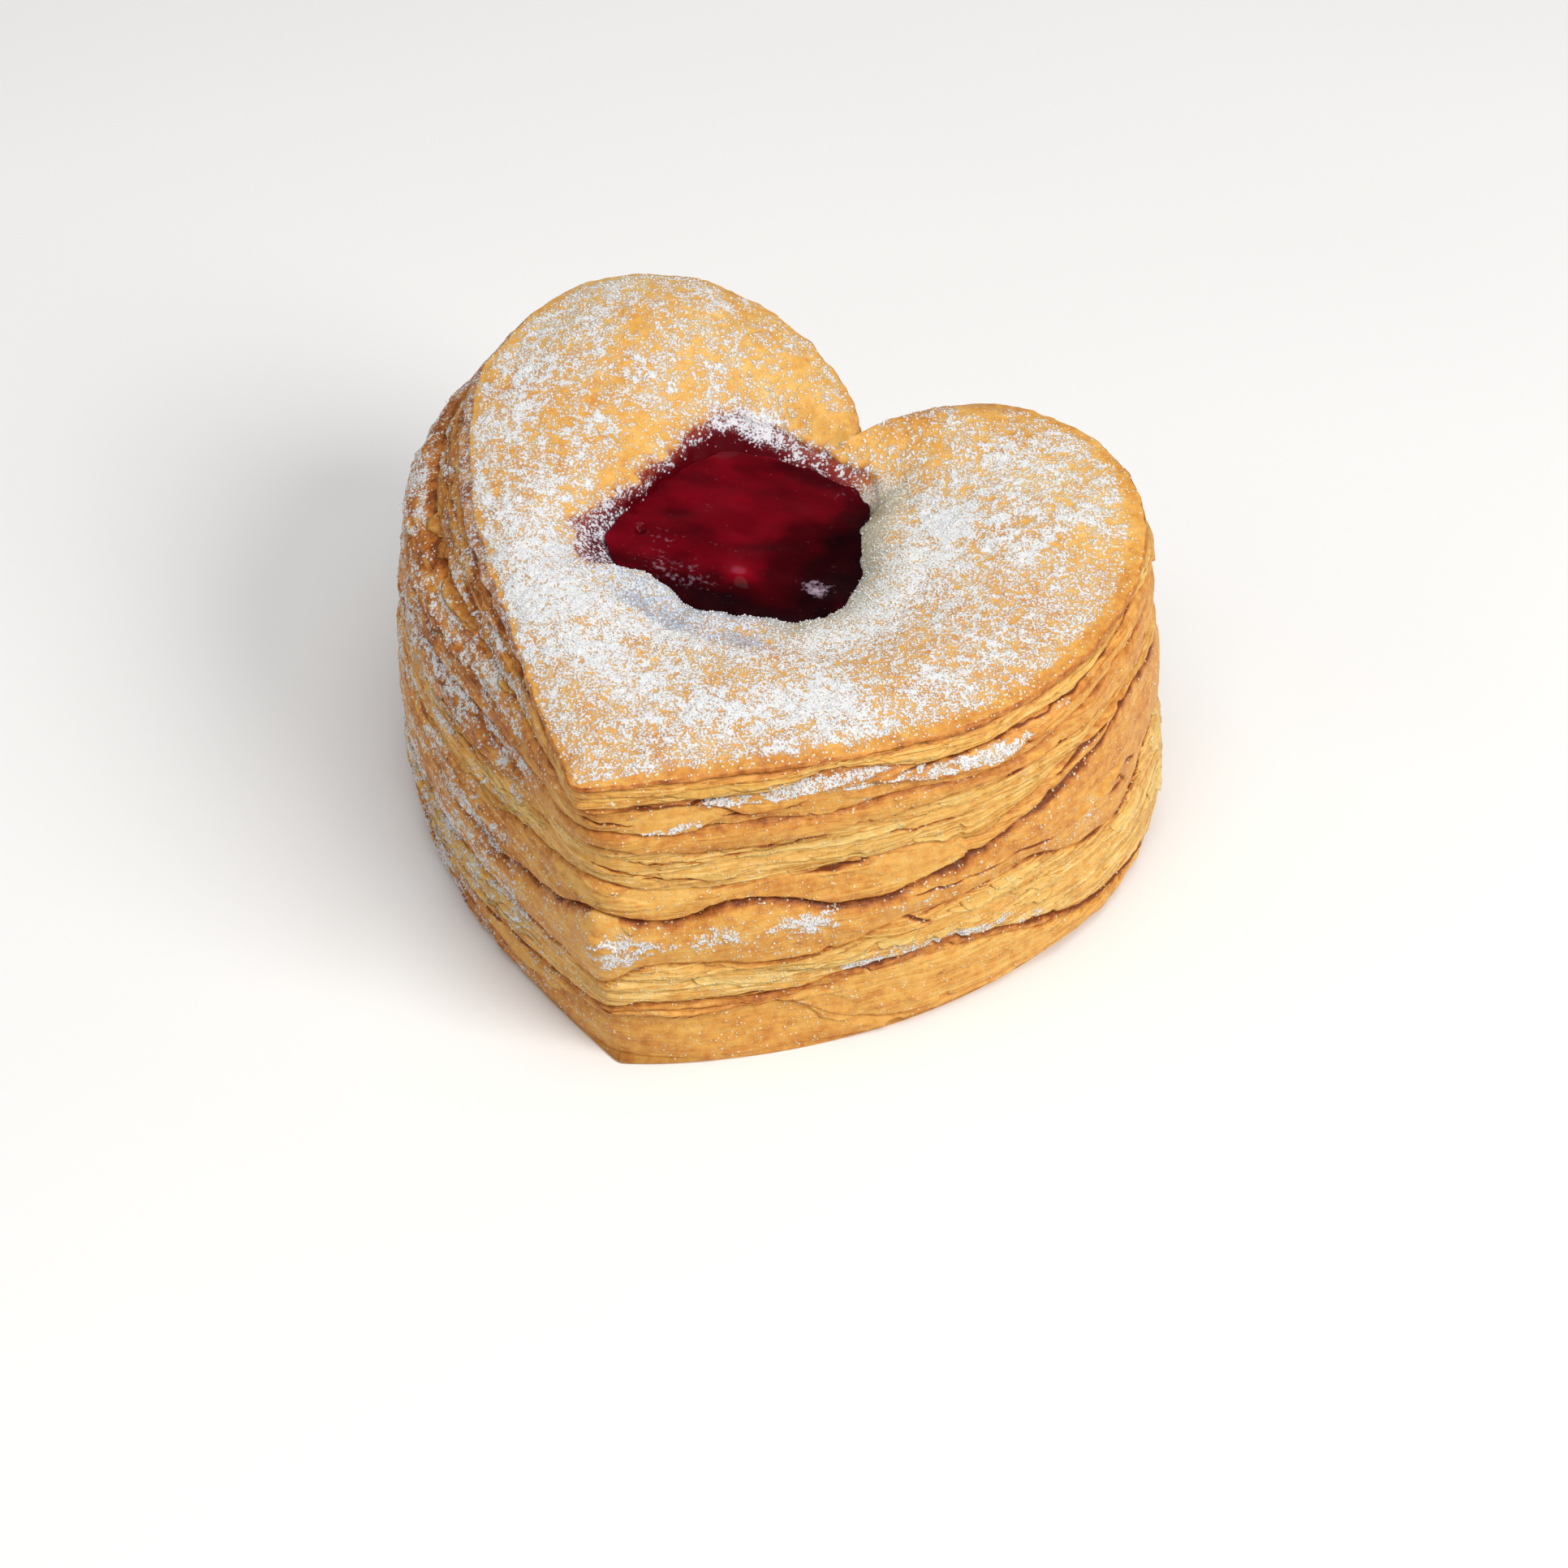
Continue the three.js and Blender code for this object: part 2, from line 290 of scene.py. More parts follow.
def paint(mesh, name, values):
    """Paints a number on every point of a mesh."""
    painted = mesh.attributes.new(name, "FLOAT", "POINT")
    painted.data.foreach_set("value", values.astype(np.float32).ravel())


def weld(mesh, distance):
    """Joins points that are this near in metres, turns the faces outwards and smooths them."""
    bm = bmesh.new()
    bm.from_mesh(mesh)
    bmesh.ops.remove_doubles(bm, verts=bm.verts, dist=distance)
    bmesh.ops.recalc_face_normals(bm, faces=bm.faces)
    bm.to_mesh(mesh)
    bm.free()
    mesh.shade_smooth()


def shell(name, rings, facts, capped=False, strips=3):
    """A closed skin through rings of points in millimetres. It closes round the heart, and its
    first and last rings join, or each closes to a point if it is capped. facts are numbers
    painted on its points. Its bake map cuts the long ring into strips laid side by side."""
    if not capped:
        rings = np.concatenate([rings, rings[:1]])
        facts = {k: np.concatenate([v, v[:1]]) for k, v in facts.items()}
    rows, columns = rings.shape[:2]
    bm = bmesh.new()
    bm.loops.layers.uv.new("OFBake")
    bmesh.ops.create_grid(bm, x_segments=columns, y_segments=rows - 1, size=1, calc_uvs=True)
    mesh = bpy.data.meshes.new(name)
    bm.to_mesh(mesh)
    bm.free()
    closed = come_round(rings)
    closed[..., :2] += CUTTER_MIDDLE
    mesh.vertices.foreach_set("co", (closed * MM).astype(np.float32).ravel())
    for key, values in facts.items():
        paint(mesh, key, come_round(np.broadcast_to(values, (rows, columns))))
    lay_bake_map(mesh, closed, columns, rows, strips)
    weld(mesh, 1e-8)
    return add_piece(name, mesh)


LONGEST_ROW = 1.5  # mm of the bake map that a step between two rings takes at most


def lay_bake_map(mesh, closed, columns, rows, strips):
    """Bake map: each ring runs along a strip, at about one scale along and across it."""
    uv = mesh.uv_layers["OFBake"]
    corners = np.empty(len(mesh.loops) * 2, np.float32)
    uv.data.foreach_get("uv", corners)
    corners = corners.reshape(-1, 4, 2)
    column = np.rint(corners[..., 0].min(1) * columns)
    strip = np.floor(column * strips / columns)[:, None]
    depth = np.linalg.norm(np.diff(closed, axis=0), axis=-1).mean(1)
    depth = np.r_[0, np.cumsum(np.minimum(depth, LONGEST_ROW))]
    down = np.interp(corners[..., 1] * (rows - 1), np.arange(rows), depth / depth[-1])
    gap = 0.004  # bare edge of a strip, as a share of its width
    corners[..., 0] = gap + (corners[..., 0] * strips - strip) * (1 - 2 * gap)
    corners[..., 1] = (strip + gap + down * (1 - 2 * gap)) / strips
    uv.data.foreach_set("uv", corners.ravel())


def add_piece(name, mesh):
    """Puts a mesh in the scene as a piece at the origin."""
    piece = bpy.data.objects.new(name, mesh)
    bpy.context.scene.collection.objects.link(piece)
    return piece


def steps(low, high, count, ends=0.0):
    """Evenly spaced shares, or shares that crowd towards both ends as ends goes to 1."""
    even = np.linspace(0, 1, count)
    crowded = 0.5 - 0.5 * np.cos(math.pi * even)
    return low + (high - low) * (even * (1 - ends) + crowded * ends)


# Where the lid's browned skin ends under its rim, as heights round the heart.
SKIN_EDGE = ((0, 49.3), (0.1, 49.6), (0.2, 49.8), (0.3, 49.7), (0.4, 49.2), (0.5, 49), (0.56, 48.7),
             (0.62, 48.5), (0.66, 47.5), (0.7, 47.4), (0.76, 47.3), (0.82, 48), (0.9, 48.8))
RIM_ROUND = 0.35  # radius that the rim is rounded to
SEAM = 0.05  # gap between a leaf and the one that it lies on
SKIN_OUT = 0.35  # how far the browned skin stands out over the leaves under it

# How much jam stained the wall and its rim, by direction.
STAINED = ((-150, 1), (-136, 0.95), (-124, 0.7), (-114, 0), (-60, 0), (0, 0), (40, 0), (50, 0.25),
           (58, 0.7), (68, 1), (110, 1))

# How damp the sugar is on the lip, by direction, and how much painted shade it takes there.
LIP_DAMP_AND_SHADE = ((-170, 0), (-140, 0.3), (-118, 0.45), (-100, 0.6), (-85, 0.85), (-70, 0.9), (-50, 0.85),
            (-30, 0.8), (-10, 0.8), (15, 1), (40, 1.2), (52, 0.9), (66, 0), (120, 0))

# Icing sugar on the lid, as soft spots: x, y, radius across, radius along, how much.
LID_SUGAR = (
    (20, 19, 5, 6, 0.3), (3, -19, 8, 4, 0.25), (-12, -23, 6, 6, 0.25), (16, 43, 6, 5, -0.38),
    (41, -10, 4, 6, -0.25), (20, -37, 6, 3, 0.08), (-42, 12, 5, 22, 0.15), (-27, -8, 9, 10, 0.22),
    (-22, -17, 8, 6, 0.2), (-12, -26, 12, 8, 0.22), (8, -30, 13, 6, 0.27), (25, -22, 11, 7, 0.31),
    (38, -8, 7, 12, 0.22), (30, 22, 9, 14, 0.2), (20, 12, 5, 10, 0.15), (-24, 38, 10, 8, -0.06),
    (-40, 34, 5, 5, 0.08), (20, 36, 8, 6, 0.1), (-22, 9, 2.5, 13, -0.3), (-8, 36, 12, 6, -0.08),
    (0, 31, 9, 5, -0.4), (11, 41, 4, 5, 0.08), (31, -6, 4, 3.5, -0.4), (46, 22, 4, 12, -0.24),
    (21, -3.5, 4, 4, -0.15), (12, -23.5, 5, 4, -0.2), (17.5, -20.5, 5, 3, -0.12), (3, -28, 4, 3, -0.14),
    (28, -14, 4, 4, -0.12),
)
LID_SUGAR_BASE = 0.54  # how much lies all over
# How wide a strip along the rim the sugar left bare.
RIM_BARE = ((0, 1), (0.1, 0.6), (0.2, 0.4), (0.3, 0.1), (0.42, 0.1), (0.5, 0.8), (0.55, 1.4), (0.62, 1.4),
            (0.7, 1.6), (0.8, 1.8), (0.9, 1.4))

skin_edge = keyed(SKIN_EDGE) * puff_stretch
ring_x, ring_y = lid_line[:, 0], lid_line[:, 1]
skin_edge += 0.3 * cloud(ring_x, ring_y, 0.5, 7, 11)
wobble = 0.5 * cloud(ring_x, ring_y, 3.3, 9, 13) + 0.22 * cloud(ring_x, ring_y, 1.1, 2.2, 14)
flare = by_direction(WALL_FLARE)
rim_of_well = well_edge(flare)
rim_xy = side(stack_height, SKIN_OUT - RIM_ROUND + wobble)[:, :2]
room = np.linalg.norm(rim_xy - rim_of_well, axis=1)
lip_radius = np.minimum(by_direction(LIP_RADIUS), 0.4 * room)
lip_xy = well_edge(flare + lip_radius)
lip_top = lid_height(lip_xy[:, 0], lip_xy[:, 1], 1)

# The lid's rings, from the foot of the well's wall over the lip and the top to the skin's edge.
LID_ROWS = {"wall": 15, "lip": 14, "top": 62, "rim": 4, "edge": 6}
lid_rows = {"wall": [], "lip": [], "top": [], "edge": []}
wall_top = lip_top - LIP_DROP * lip_radius
above_jam = np.maximum(wall_top - JAM_LEVEL["middle"], 0.5)
for t in steps(0, 1, LID_ROWS["wall"]):
    height = WALL_FOOT * (1 - t) + np.maximum(wall_top, WALL_FOOT + 1) * t
    xy = well_edge(flare * np.clip((height - JAM_LEVEL["middle"]) / above_jam, 0, 1) ** 0.8)
    lid_rows["wall"].append(ring(xy, height))
for turn in steps(math.pi / 2, 0, LID_ROWS["lip"])[1:-1]:
    xy = well_edge(flare + lip_radius * (1 - math.sin(turn)))
    height = lid_height(xy[:, 0], xy[:, 1], 1) - LIP_DROP * lip_radius * (1 - math.cos(turn))
    lid_rows["lip"].append(ring(xy, height))
for inset in steps(1, 0, LID_ROWS["top"], 0.2):
    xy = lip_xy * inset + rim_xy * (1 - inset)
    height = lid_height(xy[:, 0], xy[:, 1], inset)
    lid_rows["top"].append(ring(xy, height))
for turn in steps(0, math.pi / 2, LID_ROWS["rim"])[1:]:
    point = side(stack_height, SKIN_OUT + wobble - RIM_ROUND * (1 - math.sin(turn)))
    point[:, 2] -= RIM_ROUND * (1 - math.cos(turn))
    lid_rows["edge"].append(point)
for t in steps(0, 1, LID_ROWS["edge"])[1:]:
    height = (stack_height - RIM_ROUND) * (1 - t) + skin_edge * t
    lid_rows["edge"].append(side(height, SKIN_OUT + wobble - 0.15 * t * t))
lid_rows["tuck"] = [side(skin_edge - SEAM, -1.5), tuck(skin_edge - 1.2, 0.3), tuck(skin_edge - 5, 0.8)]

lid_rings = np.concatenate([np.stack(rows) for rows in lid_rows.values()])
zone = np.repeat(list(lid_rows), [len(rows) for rows in lid_rows.values()])[:, None]
on_top = (zone == "top") | (zone == "lip")
lx, ly, lz = lid_rings[..., 0], lid_rings[..., 1], lid_rings[..., 2]
rim_distance = np.linalg.norm(lid_rings[..., :2] - rim_xy, axis=-1)
well_distance = np.linalg.norm(lid_rings[..., :2] - rim_of_well, axis=-1)

# The sheet buckled by the well: a ridge at its front left, and a hollow in front of it whose sugar is painted
# darker, as damp and as painted shade.
# Each is a set of soft spots: x, y, radius across, radius along, height.
RIDGE = ((-15, -11.5, 3.4, 1.7, 0.9), (-11.2, -10.2, 2.8, 1.5, 1.4), (-7.4, -11, 2.4, 1.4, 1.3),
         (-4.2, -12.4, 2, 1.3, 0.6))
HOLLOW = ((-17.5, -8.2, 3, 1.6, -0.4), (-7, -15.6, 3.5, 1.9, -1), (-1, -16.2, 4, 2, -1.1),
          (7, -15.6, 4.5, 2.2, -1), (10, -13.8, 3, 2, -0.8), (12.5, -10, 3, 3, -0.7))

# The lip is thick with sugar at the front and right, and stained with jam at the back and left.
sugared_lip = ease(toward(-62), -0.35, 0.35)
stained = np.clip(by_direction(STAINED), 0, 1)
lid_sugar = LID_SUGAR_BASE + blobs(LID_SUGAR, lx, ly)
lid_sugar += 0.2 * cloud(lx, ly, 0.3, 7, 21, 2) + 0.26 * cloud(lx, ly, 0.8, 2.4, 22, 3)
lid_sugar += 0.26 * cloud(lx, ly, 0.8, 1.1, 26, 2)
# The hollow at the front right swallowed some of it.
lip_sugar = (0.84 - 0.3 * ease(well_distance, 8, 17)) * (0.2 + 0.8 * sugared_lip)
lip_sugar = lip_sugar + 0.3 * blobs(HOLLOW[3:], lx, ly)
lid_sugar = np.maximum(lid_sugar, lip_sugar * sugared_lip)
bare = keyed(RIM_BARE) + 0.6 * cloud(ring_x, ring_y, 9.9, 4, 24)
lid_sugar *= 0.4 + 0.6 * ease(rim_distance, bare - 0.5, bare + 0.8)
# On the stain it lies in specks, with a clump at the back and more at the left end
clump = np.exp(-((angle - math.radians(116)) / 0.25) ** 2)
by_rim = np.exp(-((lz - wall_top) / 1.6) ** 2)
speckled = 0.45 + 0.45 * cloud(lx, ly, lz, 1.6, 23) + 0.5 * clump * by_rim
left_end = ease(toward(-138), 0.8, 0.95) * (0.6 + 0.3 * cloud(lx, ly, lz, 1.6, 25))
speckled = np.maximum(speckled * ease(lz - wall_top, -2.2, -1), left_end)
beside_well = np.where(zone == "wall", 1, np.where(on_top, 1 - ease(well_distance, 0.8, 1.8), 0)) * stained
lid_sugar = lid_sugar * (1 - beside_well) + speckled * beside_well
lid_sugar = np.where(zone == "edge", 0.1 + 0.45 * ease(toward(200), 0.1, 0.7), lid_sugar)
lid_sugar = np.clip(np.where(zone == "tuck", 0, lid_sugar), 0, 1)

# The lid heaves a little, and its sugar stands on it as powder.
heave = 0.5 * cloud(lx, ly, 0.2, 17, 31, 2) + 0.14 * cloud(lx, ly, 0.9, 4.5, 32, 2)
heave += 0.05 * cloud(lx, ly, 0.4, 1.3, 33, 2)
powder = 0.16 * lid_sugar * (1 + 1.6 * cloud(lx, ly, 0.6, 1.0, 34, 2))
curl = blobs(RIDGE + HOLLOW, lx, ly)
free = ease(rim_distance, 0.2, 4) * ease(well_distance, -0.5, 3)
lid_rings[..., 2] += np.where(on_top, heave * free + powder + curl, 0)

# How brown it is, how far the jam bled into it, and how damp its sugar is, with painted shade on the lip and
# in its hollow.
BROWNED_LOBES = ((6, 36, 6, 7, 0.16), (18, 45, 12, 4, 0.14), (9, 39, 5, 5, 0.14))
lid_toast = 0.4 - 0.12 * ease(ly, 5, 35) + 0.14 * cloud(lx, ly, 0.1, 9, 41, 3)
lid_toast = lid_toast + 0.12 * (1 - ease(rim_distance, 0.3, 3)) * (1 - facing_left)
lid_toast = lid_toast - 0.12 * (1 - ease(well_distance, 3, 12)) * sugared_lip
lid_toast += blobs(BROWNED_LOBES, lx, ly)
lid_toast = np.where(zone == "edge", 0.7 + 0.2 * cloud(lx, ly, lz, 3, 42), lid_toast)
bleed = 0.9 + 1.2 * cloud(rim_of_well[:, 0], rim_of_well[:, 1], 4.1, 2.6, 43)
fades = 0.5 * (1 - ease(well_distance, bleed - 1.8, bleed + 1.2)) + 0.12 * cloud(lx, ly, lz, 1.2, 44)
soaked = 0.5 + 0.5 * ease(wall_top - lz, 0.2, 2)
jam_stain = np.where(zone == "wall", soaked, np.where(on_top, fades, 0))
jam_stain = np.clip(jam_stain * stained, 0, 1)
damp_and_shade_width = 9 + 4 * ease(toward(15), 0.3, 0.9)
damp = 0.75 * by_direction(LIP_DAMP_AND_SHADE) * (1 - ease(well_distance / damp_and_shade_width, -0.05, 1))
damp = damp - 0.5 * blobs(HOLLOW[1:], lx, ly) + 0.05 * blobs(RIDGE, lx, ly)
# The right of the lip soaked up butter too, and only there is it wet through. Its sugar there is also painted
# khaki-grey, as shade.
buttery = ease(toward(10), 0.25, 0.75)
damp = np.minimum(damp, 0.6 + 0.4 * buttery)
damp = damp + 0.15 * cloud(lx, ly, 0.5, 2, 45, 2) * damp
damp = np.clip(np.where(on_top | (zone == "wall"), damp, 0), 0, 1)
lid = shell("pastry_lid", lid_rings, {
    "toast": lid_toast, "dusting": lid_sugar, "jam_stain": jam_stain, "damp": damp,
    "buttery": buttery + 0 * lz, "leafing": np.where(zone == "edge", 0.3, 0), "leaf_height": lz})


def srgb(code):
    """A colour from its hex code, turned to the linear values that shaders take."""
    parts = [int(code[k:k + 2], 16) / 255 for k in (1, 3, 5)]
    return [p / 12.92 if p <= 0.04045 else ((p + 0.055) / 1.055) ** 2.4 for p in parts] + [1]


def node(tree, kind, settings=None, **links):
    """Adds a node, sets its properties, and fills its inputs with values or from outputs. An
    input is named by its label with _ for each space, or by i and its number. The setting
    "stops" holds a colour ramp's stops, as (place, hex colour)."""
    made = tree.nodes.new(kind)
    for key, value in (settings or {}).items():
        if key == "stops":
            elements = made.color_ramp.elements
            while len(elements) < len(value):
                elements.new(0.5)
            for element, (place, code) in zip(elements, value):
                element.position = place
                element.color = srgb(code)
        else:
            setattr(made, key, value)
    for key, value in links.items():
        index = int(key[1:]) if key[0] == "i" and key[1:].isdigit() else key.replace("_", " ")
        socket = made.inputs[index]
        if isinstance(value, Amount):
            value = value.socket
        if isinstance(value, bpy.types.NodeSocket):
            tree.links.new(value, socket)
        else:
            socket.default_value = value
    return made


class Amount:
    """How much of something there is over a surface. Each sum done on it adds a node."""

    def __init__(self, socket):
        self.socket = socket

    def worked(self, operation, first, second=0.0):
        tree = self.socket.id_data
        return Amount(node(tree, "ShaderNodeMath", {"operation": operation}, i0=first, i1=second).outputs[0])

    def __add__(self, other):
        return self.worked("ADD", self, other)

    def __sub__(self, other):
        return self.worked("SUBTRACT", self, other)

    def __rsub__(self, other):
        return self.worked("SUBTRACT", other, self)

    def __mul__(self, other):
        return self.worked("MULTIPLY", self, other)

    def __truediv__(self, other):
        return self.worked("DIVIDE", self, other)

    def __pow__(self, other):
        return self.worked("POWER", self, other)

    def __abs__(self):
        return self.worked("ABSOLUTE", self)

    def at_least(self, other):
        return self.worked("MAXIMUM", self, other)

    def at_most(self, other):
        return self.worked("MINIMUM", self, other)

    def clamped(self):
        """The same amount, kept from 0 to 1."""
        self.socket.node.use_clamp = True
        return self


def new_material(name):
    """A material without nodes, and its node tree."""
    material = bpy.data.materials.new(name)
    material.use_nodes = True
    tree = material.node_tree
    tree.nodes.clear()
    return material, tree


# Baked puff pastry: hundreds of thin leaves of flour and butter. The inner leaves are pale and
# silky, the egg-washed skins are golden, and every thin edge is browned. Icing sugar lies on it
# in grains of about a third of a millimetre, packed to a matt white where it is thick.
PASTRY_COLOURS = ((0.0, "#e6c47c"), (0.2, "#ddae5f"), (0.4, "#d59d4b"), (0.6, "#c4823a"),
                  (0.8, "#a45f26"), (1.0, "#70360f"))
SUGAR_WHITE = "#d7d8d8"
SPARSE_SUGAR = "#efd5a4"  # lone grains, which the crust shines through
JAM_STAIN = ((0.2, "#b8743c"), (0.42, "#8c3226"), (0.72, "#641419"), (1.0, "#4a020a"))
PINK_SUGAR = "#cfcbd5"  # sugar that lies on the jam stain
# Sugar that drew up moisture from the jam, and sugar that soaked up butter at the right: both
# set to a duller film than the dry powder, darker where they are wettest, and both painted darker
# still as the shade on the lip, bluish at the front and khaki at the right.
DAMP_AND_SHADED_SUGAR = ((0.15, "#bfcbd8"), (0.45, "#9ca9bd"), (0.75, "#91939c"))
BUTTERY_AND_SHADED_SUGAR = ((0.15, "#cfcfc4"), (0.5, "#b2b1a3"), (1.0, "#8d8873"))
SUGAR_GRAIN = 0.34  # mm across
SUGAR_ISLAND = 1.3  # mm across the small islands that the grains gather in
SPECK_SPACING = 0.75  # mm from one lone grain to the next
LEAF_SPACING = 0.42  # mm from one thin leaf to the next, as coarse as it needs to show
LEAF_LENGTH = 9.0  # mm that one thin leaf runs before it fades into the next
BROWN_MOTTLE = 1.6  # mm across a mottle of the browned skin
LINE_WIDTH = 0.022  # how near the noise has to be to its middle for a leaf's dark edge to show
DRY_GLOSS = 0.25  # the dry crust shines less than most surfaces, and the jam stain hardly at all


def baked_pastry():
    material, tree = new_material("baked_puff_pastry")
    place = node(tree, "ShaderNodeTexCoord").outputs["Object"]
    facts = []
    for name in ("toast", "dusting", "leafing", "leaf_height", "jam_stain", "damp", "buttery"):
        facts.append(Amount(node(tree, "ShaderNodeAttribute", {"attribute_name": name}).outputs["Fac"]))
    toast, dusting, leafing, leaf_height, jam_stain, damp, buttery = facts
    mottle = Amount(node(tree, "ShaderNodeTexNoise", Vector=place, Scale=1 / (BROWN_MOTTLE * MM), Detail=4.0,
                         Roughness=0.72).outputs["Fac"])
    grain = Amount(node(tree, "ShaderNodeTexNoise", Vector=place, Scale=1 / (SUGAR_GRAIN * MM), Detail=1.5,
                        Roughness=0.6).outputs["Fac"])
    island = Amount(node(tree, "ShaderNodeTexNoise", Vector=place, Scale=1 / (SUGAR_ISLAND * MM), Detail=3.0,
                         Roughness=0.62, Distortion=0.4).outputs["Fac"])
    # the thin leaves: noise drawn out along the lines that the leaves follow round the side
    plan = node(tree, "ShaderNodeSeparateXYZ", Vector=place)
    leaf_place = node(tree, "ShaderNodeCombineXYZ", X=Amount(plan.outputs["X"]) / (LEAF_LENGTH * MM),
                      Y=Amount(plan.outputs["Y"]) / (LEAF_LENGTH * MM), Z=leaf_height / LEAF_SPACING)
    leaves = Amount(node(tree, "ShaderNodeTexNoise", Vector=leaf_place.outputs[0], Scale=1.0, Detail=3.5,
                         Roughness=0.6).outputs["Fac"])
    tone = (leaves - 0.5) * leafing
    line = (1.0 - abs(leaves - 0.47) / LINE_WIDTH).clamped() * leafing
    # the crust, from pale to dark brown with the painted shade and glow that its toast carries, and what the
    # jam soaked
    brown_and_painted_light = (mottle - 0.5) * 0.9 + tone * -1.5 + line * 0.32
    brown_and_painted_light = (brown_and_painted_light + toast).clamped()
    crust = node(tree, "ShaderNodeValToRGB", {"stops": PASTRY_COLOURS}, Fac=brown_and_painted_light).outputs[0]
    jammy = node(tree, "ShaderNodeValToRGB", {"stops": JAM_STAIN}, Fac=jam_stain).outputs[0]
    soaked = (jam_stain * 1.9).clamped()
    # where the sugar lies: more of the noise counts as sugar where the dusting is thick
    cover = grain * 0.6 + island * 0.4 + dusting * 0.3
    cover = ((cover - 0.66) * 16.0).clamped()
    veil = cover * (dusting * 0.4 + 0.64)
    veil = (veil + (dusting - 0.3).clamped() * 0.12).clamped()
    # lone specks: a round grain in every cell, wider where more sugar fell
    cells = Amount(node(tree, "ShaderNodeTexVoronoi", Vector=place,
                        Scale=1 / (SPECK_SPACING * MM)).outputs["Distance"])
    speck = dusting * 0.6 + 0.14 + (island - 0.5) * 0.7
    speck = ((speck.at_most(0.36) - cells) * 12.0).clamped()
    veil = veil.at_least(speck * 0.8)
    # the film that the damp sugar set to, which closes over as it gets wetter and where painted shade lies
    film = grain * 1.2 + island * 0.6 - 1.25 + damp * 1.15
    film = (film * 3.5).clamped()
    veil = veil.at_least(film * 0.88)
    # the sugar's colour: lone grains, white heaps, and sugar wet with butter or jam, painted darker as shade
    heap = ((dusting - 0.2) * 3.2).clamped()
    wet_and_shade = damp + (0.5 - grain)
    wetness_and_shade = ((0.47 - grain) * 2.6 + damp * 1.7).clamped()
    damp_shaded_colour = node(tree, "ShaderNodeValToRGB", {"stops": DAMP_AND_SHADED_SUGAR}, Fac=wet_and_shade).outputs[0]
    buttery_shaded_colour = node(tree, "ShaderNodeValToRGB", {"stops": BUTTERY_AND_SHADED_SUGAR}, Fac=wet_and_shade).outputs[0]
    mixes = {"data_type": "RGBA"}
    wet_and_shaded_sugar = node(tree, "ShaderNodeMix", mixes, Factor=buttery, i6=damp_shaded_colour, i7=buttery_shaded_colour).outputs[2]
    sugar = srgb(SPARSE_SUGAR)
    for share, colour in ((heap, srgb(SUGAR_WHITE)), (wetness_and_shade, wet_and_shaded_sugar), (jam_stain, srgb(PINK_SUGAR))):
        sugar = node(tree, "ShaderNodeMix", mixes, Factor=share, i6=sugar, i7=colour).outputs[2]
    skin = crust
    for share, colour in ((soaked, jammy), (veil, sugar)):
        skin = node(tree, "ShaderNodeMix", mixes, Factor=share, i6=skin, i7=colour).outputs[2]
    rough = node(tree, "ShaderNodeMapRange", Value=cover, To_Min=0.5, To_Max=0.9).outputs[0]
    heaped = cover.at_least(speck).at_least(film) * (grain + island * 1.1 - 0.3)
    relief = heaped * 0.9 + mottle * 0.6 + tone * 0.8 - line * 0.4
    bump = node(tree, "ShaderNodeBump", Height=relief, Strength=0.8, Distance=0.25 * MM).outputs[0]
    shader = node(tree, "ShaderNodeBsdfPrincipled", Base_Color=skin, Roughness=rough, Normal=bump, IOR=1.46,
                  Specular_IOR_Level=DRY_GLOSS, Subsurface_Weight=0.15, Subsurface_Radius=(1.0, 0.5, 0.2),
                  Subsurface_Scale=0.8 * MM)
    tree.links.new((DRY_GLOSS - jam_stain * 0.22).socket, shader.inputs["Specular IOR Level"])
    node(tree, "ShaderNodeOutputMaterial", Surface=shader.outputs[0])
    return material


def pastry_piece(piece):
    """Makes a piece pastry that replaces the plain case."""
    piece.data.materials.append(pastry)
    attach(piece, "root")
    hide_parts("pastry_case")


pastry = baked_pastry()
pastry_piece(lid)
